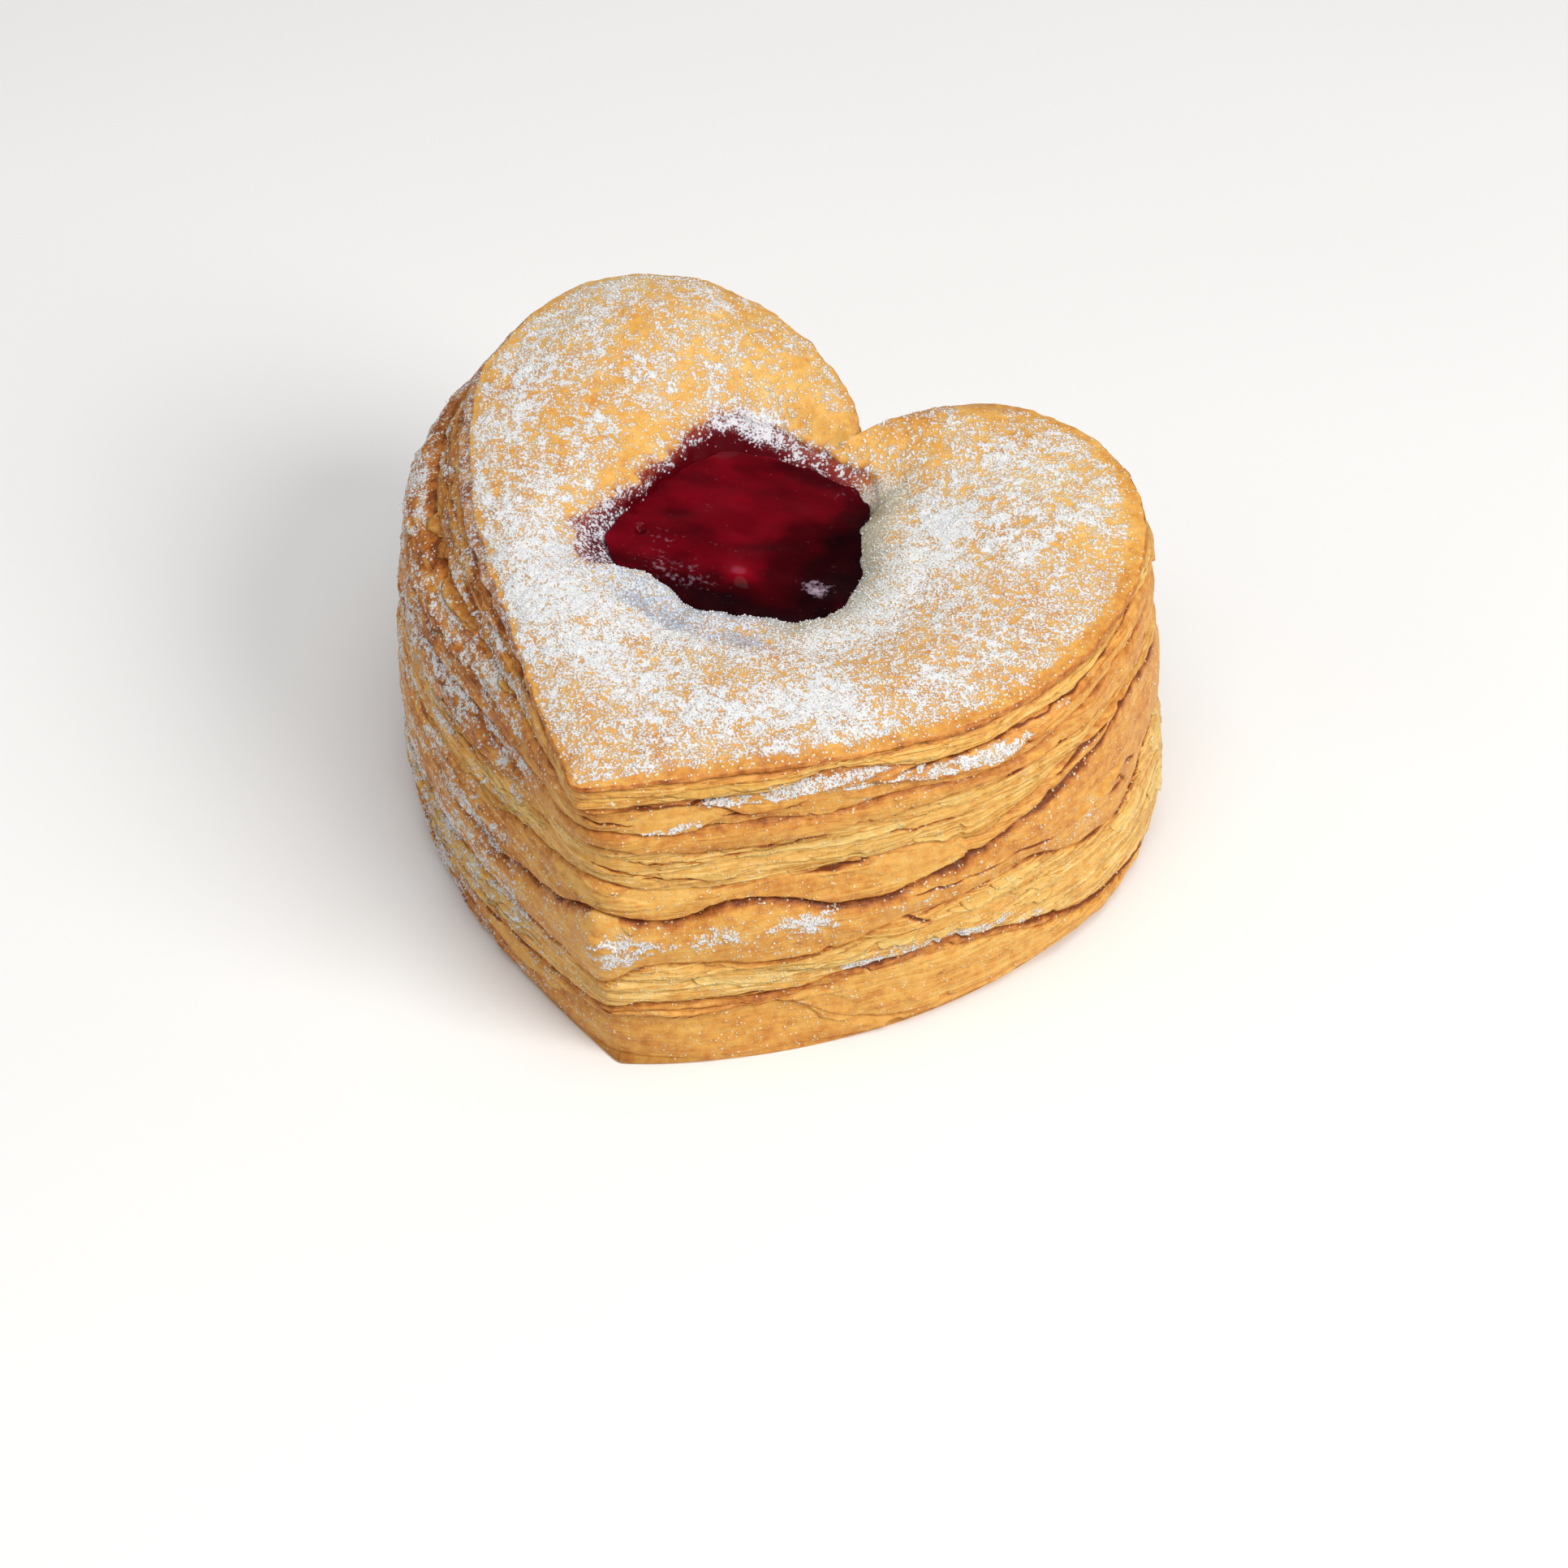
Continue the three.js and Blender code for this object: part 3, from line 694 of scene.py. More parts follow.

# ------------------------------------------------------------------------------------------
# The leaves under the lid: its pale edge, a browned leaf that stands out as a ledge and catches
# the icing sugar, and a leaf under it with flaps that curl away.
# ------------------------------------------------------------------------------------------

# Each leaf from the top down: "edge", the heights of its lower edge round the heart; "reach",
# how far out it starts and ends; "belly"; "shoulder", the depth over which it leaves the groove
# above it; its toast, how brown it is at its top and at its lower edge; "leafing", how much its
# thin leaves show, and "spacing", how far apart they are; "blunt" for the tip of the heart; and
# "rows". Some have "ledges", how much their left side crumbled; a darkening of their left side,
# browning with painted shade on the side away from the lamps; and "dark" and "dark_width", how
# much darker the groove above them is round the heart, browning with painted shade, and its depth.
LID_LEAVES = (
    {"edge": ((0, 46.4), (0.1, 46.6), (0.2, 46), (0.28, 45.6), (0.36, 45), (0.42, 45.2), (0.48, 46),
              (0.5, 46), (0.56, 45.6), (0.58, 45.9), (0.6, 47), (0.622, 46.6), (0.64, 45), (0.68, 44.7),
              (0.72, 45.2), (0.75, 46.2), (0.8, 46.6), (0.9, 46.4)),
     "reach": ((-0.2, -0.5, -0.5, -1.6), (0.25, 0.1, 0.1, -1.0)), "belly": 0.15, "shoulder": 0.4,
     "toast": (0.36, 0.34), "leafing": 0.7, "spacing": 0.9, "blunt": 0.2, "rows": 26,
     "ledges": 0, "left_browning_and_shade": 0.28},
    {"edge": ((0, 44), (0.1, 44.6), (0.2, 43.4), (0.3, 42), (0.36, 41), (0.42, 42), (0.46, 43.6),
              (0.5, 45), (0.54, 44.9), (0.557, 44.4), (0.567, 43), (0.585, 42.8), (0.6, 44.2),
              (0.62, 44.2), (0.64, 42.8), (0.66, 41.2), (0.68, 41), (0.7, 42.2), (0.72, 43.8),
              (0.77, 44.6), (0.85, 43.8)),
     "reach": ((-0.5, -0.4, -0.4, -0.8), (1.3, 1.1, 0.8, 2.0)), "belly": -0.1, "shoulder": 0.9,
     "toast": (0.45, 0.6), "leafing": 0.35, "spacing": 1.7, "blunt": 0.5, "rows": 26},
    {"edge": ((0, 41), (0.1, 41.5), (0.2, 40), (0.3, 38.8), (0.36, 37.4), (0.42, 38.4), (0.46, 39.6),
              (0.5, 41.3), (0.54, 40.6), (0.57, 41), (0.6, 40.4), (0.64, 40.9), (0.67, 39.7),
              (0.7, 40.6), (0.76, 42), (0.85, 40.6)),
     "reach": ((-0.4, -0.35, -0.3, -0.8), (0.4, 0.4, 0.4, 1.2)), "belly": 0.15, "shoulder": 0.5,
     "toast": (0.52, 0.42), "leafing": 0.4, "spacing": 1.2, "blunt": 0.8, "rows": 28},
)
# Flaps of a leaf lifted off the side, pointed at both ends: share round, height, half width,
# half height, lift, how brown, how far it drops over its half width.
LID_FLAPS = (
    (0.538, 42.6, 0.022, 2.1, 0.9, 0.36, 0), (0.6, 42.2, 0.011, 2.6, 0.7, 0.42, -1.0),
    (0.618, 43.0, 0.013, 1.7, 0.8, 0.5, 1.2), (0.655, 40.8, 0.02, 1.1, 0.5, 0.5, 0.2),
    (0.735, 41.6, 0.022, 1.3, 0.5, 0.42, 0.6), (0.42, 41.6, 0.03, 1.5, 0.6, 0.5, 0.4),
    (0.36, 43.5, 0.03, 1.2, 0.6, 0.55, 0.5), (0.84, 42, 0.03, 1.6, 0.6, 0.45, 0.3),
    (0.93, 43, 0.03, 1.3, 0.6, 0.4, -0.4), (0.06, 43, 0.03, 1.6, 0.6, 0.45, 0.3),
    (0.17, 42, 0.03, 1.5, 0.6, 0.45, -0.4), (0.26, 42, 0.03, 1.6, 0.7, 0.5, 0.4),
)
# Thin slits where the leaves parted: share and height of each end, depth, half height.
LID_SLITS = (
    (0.52, 45.2, 0.556, 45.0, 0.5, 0.18), (0.635, 44.5, 0.7, 44.3, 0.6, 0.2),
    (0.7, 44.3, 0.78, 46.6, 0.5, 0.2), (0.5, 43.4, 0.52, 42.6, 0.6, 0.2),
    (0.562, 42.4, 0.586, 42.1, 0.7, 0.2), (0.12, 44, 0.18, 43.6, 0.6, 0.2),
)
# Icing sugar caught on the side: share round, height, half width, half height, how much.
LID_CAUGHT = (
    (0.562, 44.7, 0.012, 0.7, 1.2), (0.576, 45.0, 0.012, 0.8, 1.3), (0.59, 45.7, 0.012, 0.8, 1.3),
    (0.603, 46.0, 0.012, 0.8, 1.3), (0.617, 45.9, 0.012, 0.8, 1.2), (0.613, 43.9, 0.012, 0.5, 1.0),
    (0.628, 43.8, 0.01, 0.5, 0.9), (0.643, 43.6, 0.01, 0.8, 1.0), (0.657, 43.2, 0.011, 0.8, 1.2),
    (0.67, 43.0, 0.009, 0.8, 1.2), (0.682, 42.6, 0.01, 1.1, 1.2), (0.668, 42, 0.012, 1.0, 0.5),
    (0.53, 41.3, 0.012, 0.5, 0.9), (0.546, 41.8, 0.012, 0.5, 0.9), (0.62, 41.4, 0.01, 0.45, 0.65),
    (0.535, 46.6, 0.03, 0.8, 0.2), (0.71, 44.4, 0.02, 0.7, 0.35), (0.41, 42, 0.05, 3, 0.3),
    (0.29, 42, 0.06, 3, 0.1), (0.2, 43, 0.06, 3, 0.2), (0.4, 46, 0.06, 1.4, 0.5),
    (0.28, 46.5, 0.07, 1.4, 0.3), (0.41, 42.5, 0.03, 1.2, 0.6),
)
GROOVE_BROWNING_AND_SHADE = ((0, 0.2), (0.5, 0.2))  # how much darker a groove is, round the heart: browning and painted shade
LEDGE = 1.5  # height of the little ledges that the left side crumbled into


def round_case(value):
    """A number, or four numbers set (front, right, back, left), for every column."""
    return around(value) if isinstance(value, tuple) else value + 0 * angle


def thin_leaves(x, y, level, spacing, seed):
    """Reach and browning of thin leaves, with painted shade in the groove under each: each juts out and is
    torn back by its own amount.
    """
    count = level / spacing
    leaf = np.floor(count)
    from_below = (count - leaf) * spacing
    from_above = spacing - from_below
    jut = cloud(x, y, leaf * 9.7, np.array([22, 22, 1]), seed, 2)
    torn = ease(cloud(x, y, leaf * 5.1, np.array([13, 13, 1]), seed + 3, 2), -0.08, 0.08)
    tone = cloud(x, y, leaf * 3.3, np.array([24, 24, 1]), seed + 6, 1)
    toasted = ease(cloud(x, y, leaf * 7.9, np.array([11, 11, 1]), seed + 9, 2), -0.25, 0.5)
    # the groove just under the leaf above is darker: browning and painted shade
    groove = np.exp(-(from_above / 0.14) ** 2)
    lower_edge = np.exp(-(from_below / 0.16) ** 2)
    reach = 0.34 * jut + 0.26 * torn - 0.14 * from_below / spacing - 0.12 * groove
    browning_and_painted_light = 0.1 * tone - 0.03 + toasted * (0.16 * lower_edge + 0.26 * groove)
    return reach, browning_and_painted_light - 0.18 * (1 - toasted) * lower_edge


def tier(leaves, top, seed):
    """The rows down a stack of leaves: heights, reaches, bluntness and facts of each. "open" is
    how far a row is below the leaf above it."""
    rows = {}
    for index, leaf in enumerate(leaves):
        # its lower edge wanders, and is bitten off here and there
        place = seed * 0.37 + index * 5.3  # each leaf takes its own place in the noise
        edge = keyed(leaf["edge"]) * puff_stretch
        edge = edge + 0.35 * cloud(ring_x, ring_y, place, 10, seed)
        edge = edge + 0.12 * cloud(ring_x, ring_y, place, 2.2, seed + 1)
        bite = ease(cloud(ring_x, ring_y, place, 6, seed + 2), 0.42, 0.7) * (1 - near_tip[:, 0])
        edge = np.minimum(edge + 0.5 * bite, top - 0.45)
        t = steps(0, 1, leaf["rows"], 0.3)[:, None]
        height = top * (1 - t) + edge * t
        plain = side(height, 0)
        x, y = plain[..., 0], plain[..., 1]
        # its thin leaves swing up and down a little on their way round
        swing = 1.5 * cloud(x, y, height, np.array([24, 24, 11]), seed + 3, 2)
        jut, browning_and_painted_light = thin_leaves(x, y, height + swing, leaf["spacing"], seed + 4)
        # it comes out of the groove above it, bellies out, leans and frays
        start, end = round_case(leaf["reach"][0]), round_case(leaf["reach"][1])
        from_groove = 1 - np.exp(-(top - height) / round_case(leaf["shoulder"]))
        lean = 0.42 * cloud(ring_x, ring_y, index * 7.1, 15, seed + 5, 3)
        reach = start + (end - start) * from_groove + leaf["belly"] * np.sin(math.pi * t)
        reach = reach + lean * ease(t, 0, 0.2) + leaf["leafing"] * (1 + 0.8 * facing_left) * jut
        reach = reach - 0.25 * ease(t, 0.94, 1) - 0.35 * bite * ease(t, 0.5, 1)
        reach = reach + 0.12 * cloud(x, y, height, np.array([3.5, 3.5, 2]), seed + 6, 3)
        # the left side crumbled into little ledges, browner with painted shade in the groove under each
        ledge_at = (height + 1.8 * swing) / LEDGE
        up_ledge = ledge_at - np.floor(ledge_at)
        stands = cloud(x, y, np.floor(ledge_at) * 6.1, np.array([15, 15, 1]), seed + 10, 2)
        stands = (0.45 + 0.6 * stands) * leaf.get("ledges", 0.6) * facing_left
        reach = reach + stands * np.exp(-up_ledge * 4.5)
        # how brown it is: darkest in the groove above it, browning with painted shade, and along its lower
        # edge
        lip = np.exp(-((height - edge) / 0.3) ** 2)
        shade = np.exp(-((top - height) / leaf.get("dark_width", 0.5)) ** 2)
        shade = shade * keyed(leaf.get("dark", GROOVE_BROWNING_AND_SHADE))
        shade = shade * (1 + 0.7 * cloud(ring_x, ring_y, place + 2, 5, seed + 9))
        toast_above, toast_below = round_case(leaf["toast"][0]), round_case(leaf["toast"][1])
        tone = toast_above * (1 - t) + toast_below * t + leaf["leafing"] * browning_and_painted_light
        tone = tone + 0.5 * stands * np.exp(-((1 - up_ledge) / 0.14) ** 2)
        tone = tone + 0.16 * lip * ease(cloud(ring_x, ring_y, place, 12, seed + 7), -0.6, 0.1) + shade
        tone = tone + 0.12 * cloud(x, y, height, np.array([10, 10, 4]), seed + 8, 3)
        # the left side is darker: browning and painted shade on the side away from the lamps
        tone = tone + leaf.get("left_browning_and_shade", 0.06) * facing_left
        leaf_rows = {"height": height, "reach": reach, "blunt": leaf["blunt"], "toast": tone,
                     "leafing": leaf["leafing"], "leaf_height": height + swing, "open": top - height}
        for key, values in leaf_rows.items():
            rows.setdefault(key, []).append(np.broadcast_to(values, height.shape))
        top = edge - SEAM
        seed += 17
    return {key: np.concatenate(values) for key, values in rows.items()}


def lift_flaps(rows, flaps, slits, seed):
    """Lifts flaps off the side, and cuts slits into it that are painted dark: browning and painted shade."""
    plain = side(rows["height"], 0)
    x, y, z = plain[..., 0], plain[..., 1], plain[..., 2]
    share = np.broadcast_to(turn_share, z.shape)
    height = z / puff_stretch
    ragged = 0.3 * cloud(x, y, z, np.array([3, 3, 3]), seed, 3)
    wave = 0.3 * cloud(x, y, 0.4, 3, seed + 3, 2)
    for at, level, half_width, half_height, lift, tone, drop in flaps:
        along_flap = (share - at) / half_width
        off = (height - level + drop * along_flap) / half_height
        inside = 1 - along_flap ** 2 - np.abs(off) + ragged
        sheet = ease(inside, 0.0, 0.14)
        hang = 0.55 - 0.45 * np.clip(off, -1, 1)
        rows["reach"] = rows["reach"] * (1 - 0.6 * sheet) + 0.75 * lift * sheet * hang
        # a thin browned edge, and a paler band just inside it, partly the thin dough's own colour and partly
        # a painted glow of light through it
        browning_and_painted_light = tone + 0.12 * (1 - ease(inside, 0.0, 0.1)) - 0.1 * (1 - ease(inside, 0.1, 0.3))
        browning_and_painted_light = browning_and_painted_light + 0.06 * ragged
        rows["toast"] = rows["toast"] * (1 - sheet) + sheet * browning_and_painted_light
        rows["leafing"] = rows["leafing"] * (1 - 0.6 * sheet)
    for at0, level0, at1, level1, depth, half in slits:
        t = np.clip((share - at0) / (at1 - at0), 0, 1)
        off = height - (level0 * (1 - t) + level1 * t) + wave
        beyond = np.maximum(at0 - share, 0) + np.maximum(share - at1, 0)
        narrow = half * (0.35 + 0.65 * np.sin(math.pi * np.clip(t, 0.05, 0.95)))
        cut = np.exp(-(off / narrow) ** 2 - (beyond / 0.002) ** 2)
        rows["reach"] = rows["reach"] - 0.5 * depth * cut
        # the slit is painted dark: browning, with painted shade in the cut
        rows["toast"] = rows["toast"] + 0.8 * cut


def catch_sugar(rows, spots, seed, veil):
    """Icing sugar on the side: on what faces up, in the set spots, and a few grains all over."""
    rings = side(rows["height"], rows["reach"], rows["blunt"][..., None])
    x, y, z = rings[..., 0], rings[..., 1], rings[..., 2]
    flat = ease(facing(rings)[..., 2], 0.35, 0.9)
    patch = cloud(x, y, z, np.array([5, 5, 3]), seed, 3)
    spots_here = blobs(spots, np.broadcast_to(turn_share, z.shape), z / puff_stretch)
    ragged = cloud(x, y, z, np.array([1.3, 1.3, 0.9]), seed + 1, 3)
    spots_here = 0.8 * ease(spots_here * (1 + 0.7 * patch + 1.2 * ragged), 0.1, 1.1)
    spots_here = spots_here * ease(rows["open"], 0.1, 0.5)
    caught = (0.2 + 0.3 * facing_left) * flat * ease(patch + 0.6 * ragged, -0.3, 0.5)
    caught = caught * ease(rows["open"], 0.4, 1.4)
    streak = cloud(x, y, z, np.array([9, 9, 1.7]), seed + 2, 3)
    drift = facing_left * (0.1 + 0.42 * ease(streak + 0.3 * ragged, -0.1, 0.6)) * ease(rows["open"], 0.1, 0.6)
    density = veil + drift - 0.04 * facing_right + caught + spots_here
    density = density + (0.7 * np.clip(patch, -1, 1) + 0.4 * ragged) * veil
    rows["dusting"] = np.clip(density, 0, 0.76)
    # the left side is painted darker in streaks, as shade on the side away from the lamps
    rows["toast"] = rows["toast"] + facing_left * (0.12 - 0.25 * np.clip(streak, -0.4, 0.4))
    rings[..., :2] += outward * (0.12 * rows["dusting"])[..., None]
    return rings


tiers = []  # the visible rings and facts of each tier, for the torn leaves and loose sugar


def closed_tier(name, rows, rings, above, below, capped=False):
    """Makes the piece of a tier. Hidden rings above and below its rows run in to the well and
    close it."""
    facts = {key: rows[key] for key in ("toast", "dusting", "leafing", "leaf_height")}
    for key, values in facts.items():
        hidden = 0.5 if key == "toast" else 0
        facts[key] = np.pad(values, ((len(above), len(below)), (0, 0)), constant_values=hidden)
    rings = np.concatenate([np.stack(above), rings, np.stack(below)])
    piece = shell(name, rings, facts, capped=capped, strips=4)
    pastry_piece(piece)
    tiers.append((rings[len(above):-len(below)], rows))


leaves_top = skin_edge - 0.15
rows = tier(LID_LEAVES, leaves_top, seed=300)
lift_flaps(rows, LID_FLAPS, LID_SLITS, seed=320)
rings = catch_sugar(rows, LID_CAUGHT, seed=330, veil=0.12)
leaves_end = rows["height"][-1]
closed_tier(
    "pastry_lid_leaves", rows, rings,
    [tuck(leaves_top - 5.2, 0.8), tuck(leaves_top - 1.5, 0.3), side(leaves_top - 0.02, -1.9)],
    [side(leaves_end - SEAM, -1.8), tuck(leaves_end - 1, 0.3), tuck(leaves_end - 4, 0.8)])

# ------------------------------------------------------------------------------------------
# The upper tier: a browned sheet, pale silky leaves drawn out between it and the next, and a
# sheet whose edge hangs over the deep crack. The crack runs low at the front, high at the right.
# ------------------------------------------------------------------------------------------

UPPER_LEAVES = (
    {"edge": ((0, 37.5), (0.1, 37.5), (0.2, 36), (0.3, 34), (0.38, 32), (0.42, 33), (0.46, 36), (0.5, 38.8),
              (0.54, 37.4), (0.58, 36.9), (0.62, 37.3), (0.66, 38.2), (0.7, 37.8), (0.78, 37),
              (0.88, 37.5)),
     "reach": ((0.0, 0.0, 0.0, -0.9), (0.7, 0.6, 0.6, 0.6)), "belly": 0.25, "shoulder": 0.5,
     "toast": (0.54, 0.5), "leafing": 0.3, "spacing": 1.5, "blunt": 1.0, "rows": 22},
    {"edge": ((0, 30.5), (0.1, 30), (0.2, 29), (0.3, 28.6), (0.4, 27.4), (0.46, 29.4), (0.5, 32.5),
              (0.53, 31), (0.6, 30.6), (0.64, 31.2), (0.66, 29.6), (0.68, 31), (0.72, 34.2),
              (0.76, 36.2), (0.8, 35.5), (0.88, 32)),
     "reach": (-0.25, 0.15), "belly": 0.2, "shoulder": 0.3,
     "toast": ((0.26, 0.34, 0.26, 0.26), (0.19, 0.28, 0.2, 0.2)), "leafing": 0.75,
     "spacing": 1.05, "blunt": 1.0, "rows": 42},
    {"edge": ((0, 27), (0.1, 26.5), (0.2, 25.4), (0.3, 24.4), (0.36, 23.5), (0.4, 21.8), (0.44, 21.2),
              (0.47, 24), (0.5, 27.5), (0.52, 26.7), (0.54, 26.4), (0.555, 28), (0.57, 28.1),
              (0.585, 27), (0.602, 24.9), (0.62, 24.8), (0.64, 25.4), (0.66, 27), (0.68, 29.2),
              (0.7, 30.6), (0.73, 33), (0.76, 35), (0.8, 34), (0.88, 30)),
     "reach": (-0.25, 0.9), "belly": 0.1, "shoulder": 0.5, "toast": (0.34, 0.5), "leafing": 0.45,
     "spacing": 1.3, "blunt": 0.9, "rows": 32},
)
UPPER_FLAPS = (
    (0.636, 28.4, 0.024, 3.0, 0.6, 0.38, 0.6), (0.59, 28.4, 0.03, 2.0, 0.5, 0.5, 0.4),
    (0.512, 35.6, 0.02, 1.4, 0.4, 0.32, 0.5), (0.565, 34.2, 0.03, 0.9, 0.35, 0.24, -0.3),
    (0.61, 33.4, 0.03, 1.1, 0.35, 0.22, 0.4), (0.53, 30.6, 0.022, 1.3, 0.5, 0.26, 0.3),
    (0.655, 35.4, 0.025, 1.0, 0.4, 0.3, -0.5), (0.46, 33.5, 0.03, 1.7, 0.6, 0.4, 0.5),
    (0.42, 36.2, 0.022, 2.2, -0.9, 0.7, 0), (0.36, 34, 0.03, 1.6, 0.6, 0.5, 0.4),
    (0.83, 38.6, 0.03, 1.3, 0.6, 0.45, 0.3), (0.93, 33, 0.035, 2, 0.6, 0.4, -0.4),
    (0.15, 33, 0.04, 2, 0.6, 0.4, 0.5), (0.06, 36, 0.03, 1.4, 0.5, 0.45, 0.3),
    (0.25, 36, 0.03, 1.6, 0.6, 0.45, 0.4), (0.31, 30, 0.03, 1.8, 0.6, 0.4, 0.3),
    (0.71, 38.8, 0.02, 1.1, 0.4, 0.45, 0.6), (0.49, 29.5, 0.014, 1.8, 0.5, 0.3, 0.8),
)
UPPER_SLITS = (
    (0.594, 30.4, 0.616, 30.7, 1.1, 0.3), (0.598, 32.6, 0.61, 32.2, 0.5, 0.18),
    (0.675, 37.6, 0.69, 37.2, 0.7, 0.22), (0.52, 36.2, 0.55, 35.2, 0.5, 0.18),
    (0.56, 35.8, 0.60, 36.2, 0.35, 0.18), (0.525, 33.6, 0.56, 31.8, 0.55, 0.2),
    (0.70, 37.4, 0.76, 37.2, 0.4, 0.2), (0.71, 32.6, 0.74, 34.6, 0.9, 0.3),
    (0.9, 35, 0.93, 34.4, 0.8, 0.25), (0.1, 34, 0.13, 33.2, 0.8, 0.25),
    (0.2, 32, 0.24, 31.4, 0.9, 0.25), (0.37, 31, 0.41, 30.4, 0.8, 0.25),
    (0.5, 35.2, 0.525, 33.9, 0.5, 0.18), (0.62, 34.6, 0.66, 34, 0.4, 0.16),
)
UPPER_CAUGHT = (
    (0.64, 39.2, 0.01, 1.0, 0.3), (0.43, 35, 0.03, 3.5, 0.3), (0.42, 29, 0.03, 1.5, 0.3),
    (0.34, 34, 0.05, 6, 0.3), (0.425, 38.5, 0.02, 1.4, 0.6), (0.405, 22.5, 0.025, 1.6, 1.1),
    (0.375, 36.5, 0.03, 2.5, 0.6), (0.27, 36, 0.05, 6, 0.3), (0.2, 36, 0.06, 4, 0.2),
    (0.62, 29.5, 0.03, 1, 0.15),
)

rows = tier(UPPER_LEAVES, leaves_end - SEAM, seed=400)
lift_flaps(rows, UPPER_FLAPS, UPPER_SLITS, seed=420)
rings = catch_sugar(rows, UPPER_CAUGHT, seed=430, veil=0.13)
upper_top, crack_line = rows["height"][0], rows["height"][-1]
closed_tier(
    "pastry_upper_tier", rows, rings,
    [tuck(upper_top - 0.6, 0.8), tuck(upper_top - 0.2, 0.3), side(upper_top - 0.02, -1.9)],
    [side(crack_line - SEAM, -1.8), tuck(crack_line - 0.2, 0.3), tuck(crack_line - 1, 0.8)])

# ------------------------------------------------------------------------------------------
# The lower tier: a second crusted heart that swelled out under the crack, with pale leaves
# under its crust. It holds the well's floor.
# ------------------------------------------------------------------------------------------

LOWER_LEAVES = (
    {"edge": ((0, 17), (0.1, 17.5), (0.2, 16), (0.3, 14.5), (0.4, 14), (0.47, 14.5), (0.5, 15.6),
              (0.52, 18.2), (0.55, 17.5), (0.58, 16.2), (0.6, 16.8), (0.62, 19), (0.66, 20), (0.69, 21),
              (0.7, 20.3), (0.713, 18.4), (0.73, 17.3), (0.75, 16.6), (0.766, 17.6), (0.782, 21),
              (0.82, 20), (0.88, 17.5)),
     "reach": ((-1.4, -0.8, -1.2, -1.6), 0.6), "belly": 0.6, "shoulder": (0.6, 0.35, 0.5, 0.9),
     "toast": ((0.4, 0.5, 0.4, 0.4), (0.42, 0.53, 0.42, 0.42)), "leafing": 0.22,
     "dark": ((0, 0.55), (0.3, 0.55), (0.5, 0.62), (0.62, 0.65), (0.68, 0.7), (0.71, 1), (0.75, 1),
              (0.78, 0.6), (0.85, 0.5)),
     "dark_width": 1.1, "ledges": 0.2, "spacing": 2.4, "blunt": 0.2, "rows": 52},
    {"edge": ((0, 10.5), (0.1, 11), (0.2, 9), (0.3, 8.5), (0.38, 8.6), (0.44, 8.8), (0.48, 9.6),
              (0.5, 11), (0.585, 11.3), (0.6, 12.2), (0.64, 12.6), (0.66, 12.2), (0.68, 10.4), (0.7, 8),
              (0.72, 5.8), (0.75, 4.6), (0.8, 4), (0.86, 6), (0.93, 9)),
     "reach": (-0.3, 0.5), "belly": 0.2, "shoulder": 0.35, "toast": (0.28, 0.24), "leafing": 0.8,
     "dark": ((0, 0.36), (0.5, 0.3), (0.65, 0.45), (0.7, 0.75), (0.78, 0.8), (0.82, 0.4)), "dark_width": 0.6,
     "spacing": 1.0, "blunt": 0.3, "rows": 42},
)
LOWER_FLAPS = (
    (0.505, 25, 0.012, 2.4, 0.5, 0.35, 0.8), (0.655, 16, 0.03, 1.2, 0.4, 0.3, -0.4),
    (0.56, 14.6, 0.03, 0.9, 0.35, 0.2, 0.3), (0.86, 12, 0.03, 2, 0.6, 0.4, 0.5),
    (0.08, 13, 0.03, 2, 0.6, 0.4, 0.4), (0.28, 12, 0.04, 2, 0.5, 0.35, -0.4),
    (0.71, 12.6, 0.03, 1.6, 0.45, 0.3, 0.6), (0.45, 12, 0.03, 1.3, 0.5, 0.3, 0.4),
    (0.73, 24.6, 0.018, 1.3, 0.4, 0.42, -1.2),
)
LOWER_SLITS = (
    (0.638, 23.0, 0.655, 23.1, 0.8, 0.22), (0.66, 23.1, 0.677, 23.3, 0.8, 0.2),
    (0.68, 23.7, 0.701, 23.1, 0.9, 0.25), (0.632, 19.0, 0.64, 17.6, 1.0, 0.4),
    (0.742, 22.2, 0.752, 21.8, 0.9, 0.35), (0.749, 23.6, 0.757, 20.5, 0.7, 0.3),
    (0.757, 24.4, 0.764, 23, 0.8, 0.35), (0.50, 11.2, 0.58, 11.3, 0.5, 0.18),
    (0.12, 21, 0.16, 20.4, 0.5, 0.2), (0.24, 13, 0.28, 12.4, 0.6, 0.25),
)
LOWER_CAUGHT = (
    (0.506, 21.4, 0.009, 2.6, 1.6), (0.523, 21.8, 0.01, 1.2, 1.2), (0.552, 22.6, 0.012, 1.8, 0.7),
    (0.588, 22.4, 0.013, 1.9, 1.2), (0.63, 22, 0.014, 1.2, 0.4), (0.61, 12.9, 0.012, 0.6, 0.9),
    (0.635, 13.3, 0.02, 0.7, 1.3), (0.665, 13.0, 0.014, 0.8, 1.2), (0.69, 10.2, 0.012, 0.9, 0.6),
    (0.72, 22, 0.03, 2.6, 0.35), (0.62, 15, 0.02, 1.2, 0.3), (0.38, 14, 0.05, 4.5, 0.45),
    (0.44, 13, 0.03, 4, 0.35), (0.33, 12, 0.05, 6, 0.4), (0.27, 12, 0.05, 6, 0.3),
)
WELL_FLOOR = 15.0
TIER_FLOOR = 9.0  # where the lower tier ends inside, on top of the foot

rows = tier(LOWER_LEAVES, crack_line - 0.3, seed=500)
lift_flaps(rows, LOWER_FLAPS, LOWER_SLITS, seed=520)
rings = catch_sugar(rows, LOWER_CAUGHT, seed=530, veil=0.19)
lower_top, lower_end = rows["height"][0], rows["height"][-1]


